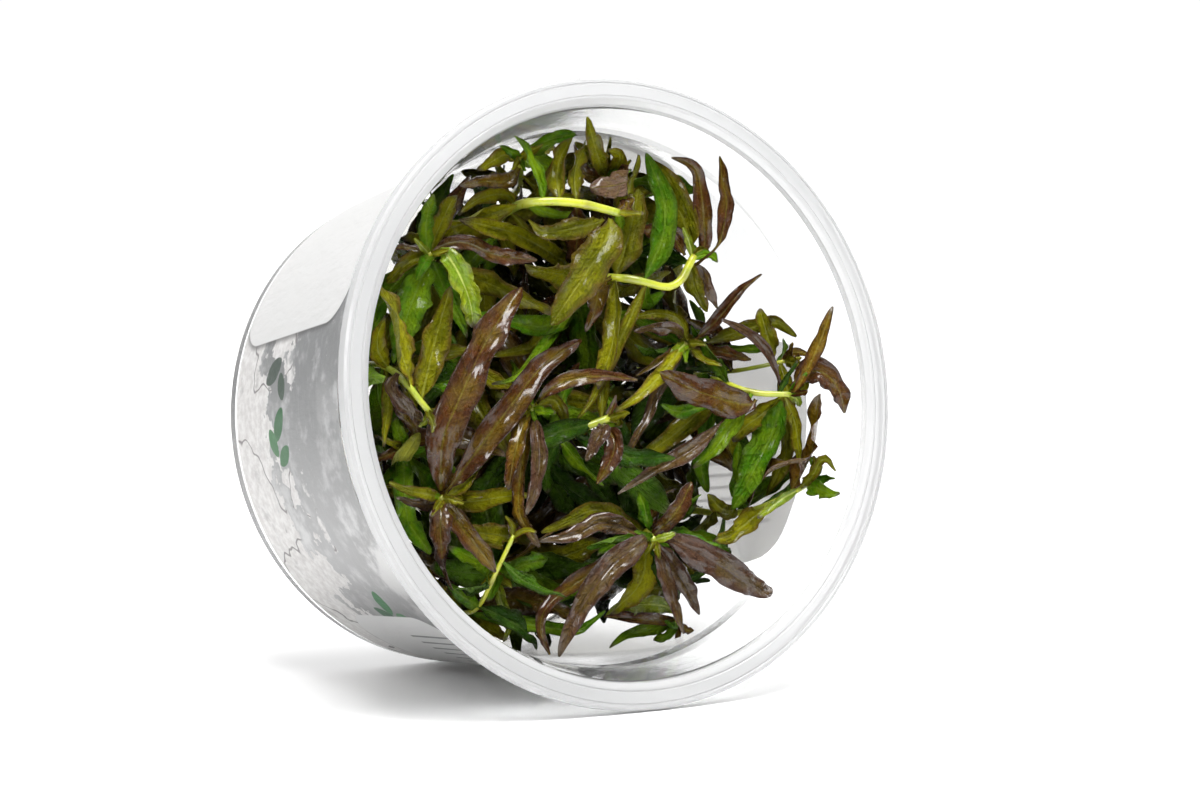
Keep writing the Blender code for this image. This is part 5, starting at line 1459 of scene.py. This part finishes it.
def held(section):
    """The section with a point near each end of its long runs, so that they shade as straight."""
    points = [section[0]]
    for start, end in zip(section, section[1:]):
        share = HOLD / math.dist(start, end)
        if share < 1 / 3:
            points += [between(start, end, share), between(start, end, 1 - share)]
        points.append(end)
    return points


def turned(name, profile, sides, finish, crease=35):
    """Spins a closed (depth, radius) section finely round the cup's axis."""
    shape = bmesh.new()
    verts = [shape.verts.new(CENTRE - AXIS_OUT * d + MOUTH_X * r) for d, r in held(profile)]
    edges = [shape.edges.new(pair) for pair in zip(verts, verts[1:])]
    bmesh.ops.spin(shape, geom=verts + edges, cent=CENTRE, axis=AXIS_OUT, angle=2 * math.pi, steps=sides)
    bmesh.ops.remove_doubles(shape, verts=shape.verts, dist=SEAM)
    bmesh.ops.recalc_face_normals(shape, faces=shape.faces)
    mesh = bpy.data.meshes.new(name)
    shape.to_mesh(mesh)
    shape.free()
    mesh.transform(Matrix.Scale(MM, 4))
    mesh.materials.append(finish)
    mesh.shade_smooth()
    mesh.set_sharp_from_angle(angle=math.radians(crease))
    return link(name, mesh)


def groove(radius):
    """A line pressed into the face of the flange, as (depth, radius)."""
    return [(0.0, radius), (GROOVE, radius + 0.12), (GROOVE, radius + 0.28), (0.0, radius + 0.4)]


def eased(section, corner, reach):
    """The section with one corner cut off by two gentler ones."""
    middle = section[corner]
    near = (section[corner - 1], section[corner + 1])
    cut = [between(middle, other, reach / math.dist(middle, other)) for other in near]
    return section[:corner] + cut + section[corner + 1:]


def fine_profile():
    """The cup's section with its ledge softened and a line pressed near each edge of the flange."""
    section = [
        (depth, radius) for depth, radius in cup_profile()
        if not (LEDGE_DEPTH - 1.0 < depth < LEDGE_DEPTH + 0.1 and radius < LEDGE_RADIUS + 1.0)
    ]
    section = eased(section, 3, 1.6)
    outer = section.index((0.0, FLANGE_RADIUS - 0.4))
    return section[:outer] + groove(MOUTH_RADIUS + 1.7) + groove(FLANGE_RADIUS - 1.2) + section[outer:]


def dress_cup():
    piece = turned("clear_cup", fine_profile(), CUP_STEPS, clear_plastic())
    piece.data.materials.append(rim_plastic())
    for face in piece.data.polygons:
        depth, radius = depth_and_radius(face.center / MM)
        face.material_index = int(depth < FLANGE_SKIRT + 0.1 and radius > MOUTH_RADIUS + 0.3)
    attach(piece, "root")
    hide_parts("cup")


def jelly_profile():
    floor = HEIGHT - WALL - JELLY_GAP
    front_edge, back_edge = room(JELLY_DEPTH) - JELLY_GAP, room(floor) - JELLY_GAP
    return [
        (JELLY_DEPTH, 0.0),
        (JELLY_DEPTH + 0.25, front_edge - 2.5),
        (JELLY_DEPTH, front_edge),
        (floor - 1.4, back_edge),
        (floor - 0.4, back_edge - 0.4),
        (floor, back_edge - 1.4),
        (floor, 0.0),
    ]


def dress_jelly():
    piece = turned("set_jelly", jelly_profile(), JELLY_STEPS, jelly_material())
    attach(piece, "root")
    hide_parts("jelly")


def sheet_depths(from_end):
    """Depths across the label at a distance from its end, where its corners are rounded."""
    inward = max(0.0, LABEL_CORNER - from_end)
    cut = LABEL_CORNER - math.sqrt(LABEL_CORNER ** 2 - inward ** 2)
    front, back = LABEL_FRONT_DEPTH + cut, FILM_BACK_DEPTH - cut
    return [front + (back - front) * k / LABEL_DEPTH_STEPS for k in range(LABEL_DEPTH_STEPS + 1)]


def sheet_row(turn, depths):
    """Points round the sheet's section at an angle, and their places on the print."""
    spoke = MOUTH_X * math.cos(turn) + MOUTH_Y * math.sin(turn)
    row, blade_row = [], []
    for lift, outside, order in ((LABEL_LIFT, 0.0, 1), (LABEL_LIFT + FILM_THICKNESS, 1.0, -1)):
        for depth in depths[::order]:
            row.append(CENTRE - AXIS_OUT * depth + spoke * (wall_radius(depth) + lift))
            blade_row.append((turn * ARC_RADIUS, depth, outside))
    return row, blade_row


def label_sheet(name, first, last, finish):
    """A thin sheet that lies on the wall, its corners rounded."""
    body = Body()
    side = 360.0 / SIDES
    start = (first + 0.5) * side - 90.0
    sweep = (last - first) * side
    steps = int(sweep / LABEL_STEP)
    rows, blade = [], []
    for i in range(steps + 1):
        from_end = math.radians(sweep) * min(i, steps - i) / steps * ARC_RADIUS
        row, blade_row = sheet_row(math.radians(start + sweep * i / steps), sheet_depths(from_end))
        rows.append(row)
        blade.append(blade_row)
    around = len(rows[0])
    body.grid(rows, 0, blade, [[(0.0, 0.0, 0.0)] * around] * len(rows), closed=True)
    body.face(range(around - 1, -1, -1), 0)
    body.face(range(steps * around, (steps + 1) * around), 0)
    piece = body.finish("film_" + name, [finish])
    piece.data.set_sharp_from_angle(angle=math.radians(40))
    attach(piece, "root")
    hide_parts(name)


def dress_label():
    finish = label_material()
    for name, (first, last) in WRAPS.items():
        label_sheet(name, first, last, finish)


def dress_plant():
    """The fine leaves that are pieces of their own, then each stem with the leaves on it."""
    stems, single, fused = grow()
    names = list(LEAF_TONES)
    finishes = [leaf_material(name) for name in names] + [stem_material()]
    chance = random.Random(SEED)
    for name, (path, width, roll, stalk, colour) in single:
        body = Body()
        grow_blade(body, path, width, roll, stalk, 0, chance, FINE_STEPS)
        piece = body.finish("fine_" + name, [finishes[names.index(colour)]])
        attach(piece, "root")
        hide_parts(name)
    for name, (radius, path) in stems.items():
        body = Body()
        grow_stem(body, path, radius, len(names))
        for leaf_way, width, roll, stalk, colour in fused[name] + tip_leaves(chance, path):
            if colour == "shaded":
                colour = tone_for(chance, leaf_way)
            steps = FINE_STEPS if path_length(leaf_way) > LITTLE_LENGTH[1] else LITTLE_STEPS
            grow_blade(body, leaf_way, width, roll, stalk, names.index(colour), chance, steps)
        piece = body.finish("fine_" + name, finishes)
        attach(piece, "root")
        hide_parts(name)


def set_stage():
    """A white floor under the cup, and plain colours."""
    n = material("floor")
    n.set(Base_Color=(0.95, 0.95, 0.95), Roughness=0.4)
    half = FLOOR_SIZE / 2
    corners = [(-half, -half, 0), (half, -half, 0), (half, half, 0), (-half, half, 0)]
    mesh = bpy.data.meshes.new("floor")
    mesh.from_pydata(corners, [], [(0, 1, 2, 3)])
    mesh.materials.append(n.made)
    floor = link("floor", mesh)
    bpy.context.scene.view_settings.view_transform = "Standard"


def set_world():
    """A studio that is white behind and above the cup, and dimmer on the camera's side."""
    n = Nodes(bpy.data.worlds.new("studio"), "Background")
    back = (Vector((0, 0, TOP_LIGHT)) - TO_VIEWER).normalized()
    facing = n.product("DOT_PRODUCT", n.place("Generated"), back, "Value")
    n.set(Color=(1.0, 1.0, 1.0), Strength=n.step(facing, -0.5, 0.45, FRONT_LIGHT, WORLD_LIGHT))
    bpy.context.scene.world = n.made


def light(kind, name, way, energy):
    """A lamp that shines along a direction."""
    lamp = bpy.data.lights.new(name, kind)
    lamp.energy = energy
    made = link(name, lamp)
    made.rotation_euler = way.to_track_quat("-Z", "Y").to_euler()
    return made


def set_lights():
    sun = light("SUN", "overhead", -(ACROSS * SUN_LEAN + Vector((0, 0, 1.0))), SUN_STRENGTH)
    sun.data.angle = SUN_SPREAD
    front = Vector((TO_VIEWER.x, TO_VIEWER.y, 0.0)).normalized()
    for name, near, aside, size, watts in SOFTBOXES:
        place = front * near + Vector(aside)
        box = light("AREA", name, LIGHT_TARGET - place, watts)
        box.location = place
        box.data.shape = "RECTANGLE"
        box.data.size, box.data.size_y = size


def set_camera():
    lens = bpy.data.cameras.new("camera")
    lens.sensor_width = SENSOR_MM
    lens.lens = PIXELS_PER_MM * SIGHT_DISTANCE / PICTURE[0] * SENSOR_MM
    lens.shift_x = (PICTURE[0] / 2 - MOUTH_PIXEL[0]) / PICTURE[0]
    lens.shift_y = (MOUTH_PIXEL[1] - PICTURE[1] / 2) / PICTURE[0]
    lens.clip_start = 0.01
    made = link("camera", lens)
    made.location = (CENTRE + TO_VIEWER * SIGHT_DISTANCE) * MM
    made.rotation_euler = Matrix((ACROSS, UPWARD, TO_VIEWER)).transposed().to_euler()
    bpy.context.scene.camera = made


dress_cup()
dress_jelly()
dress_label()
dress_plant()
set_stage()
set_world()
set_lights()
set_camera()
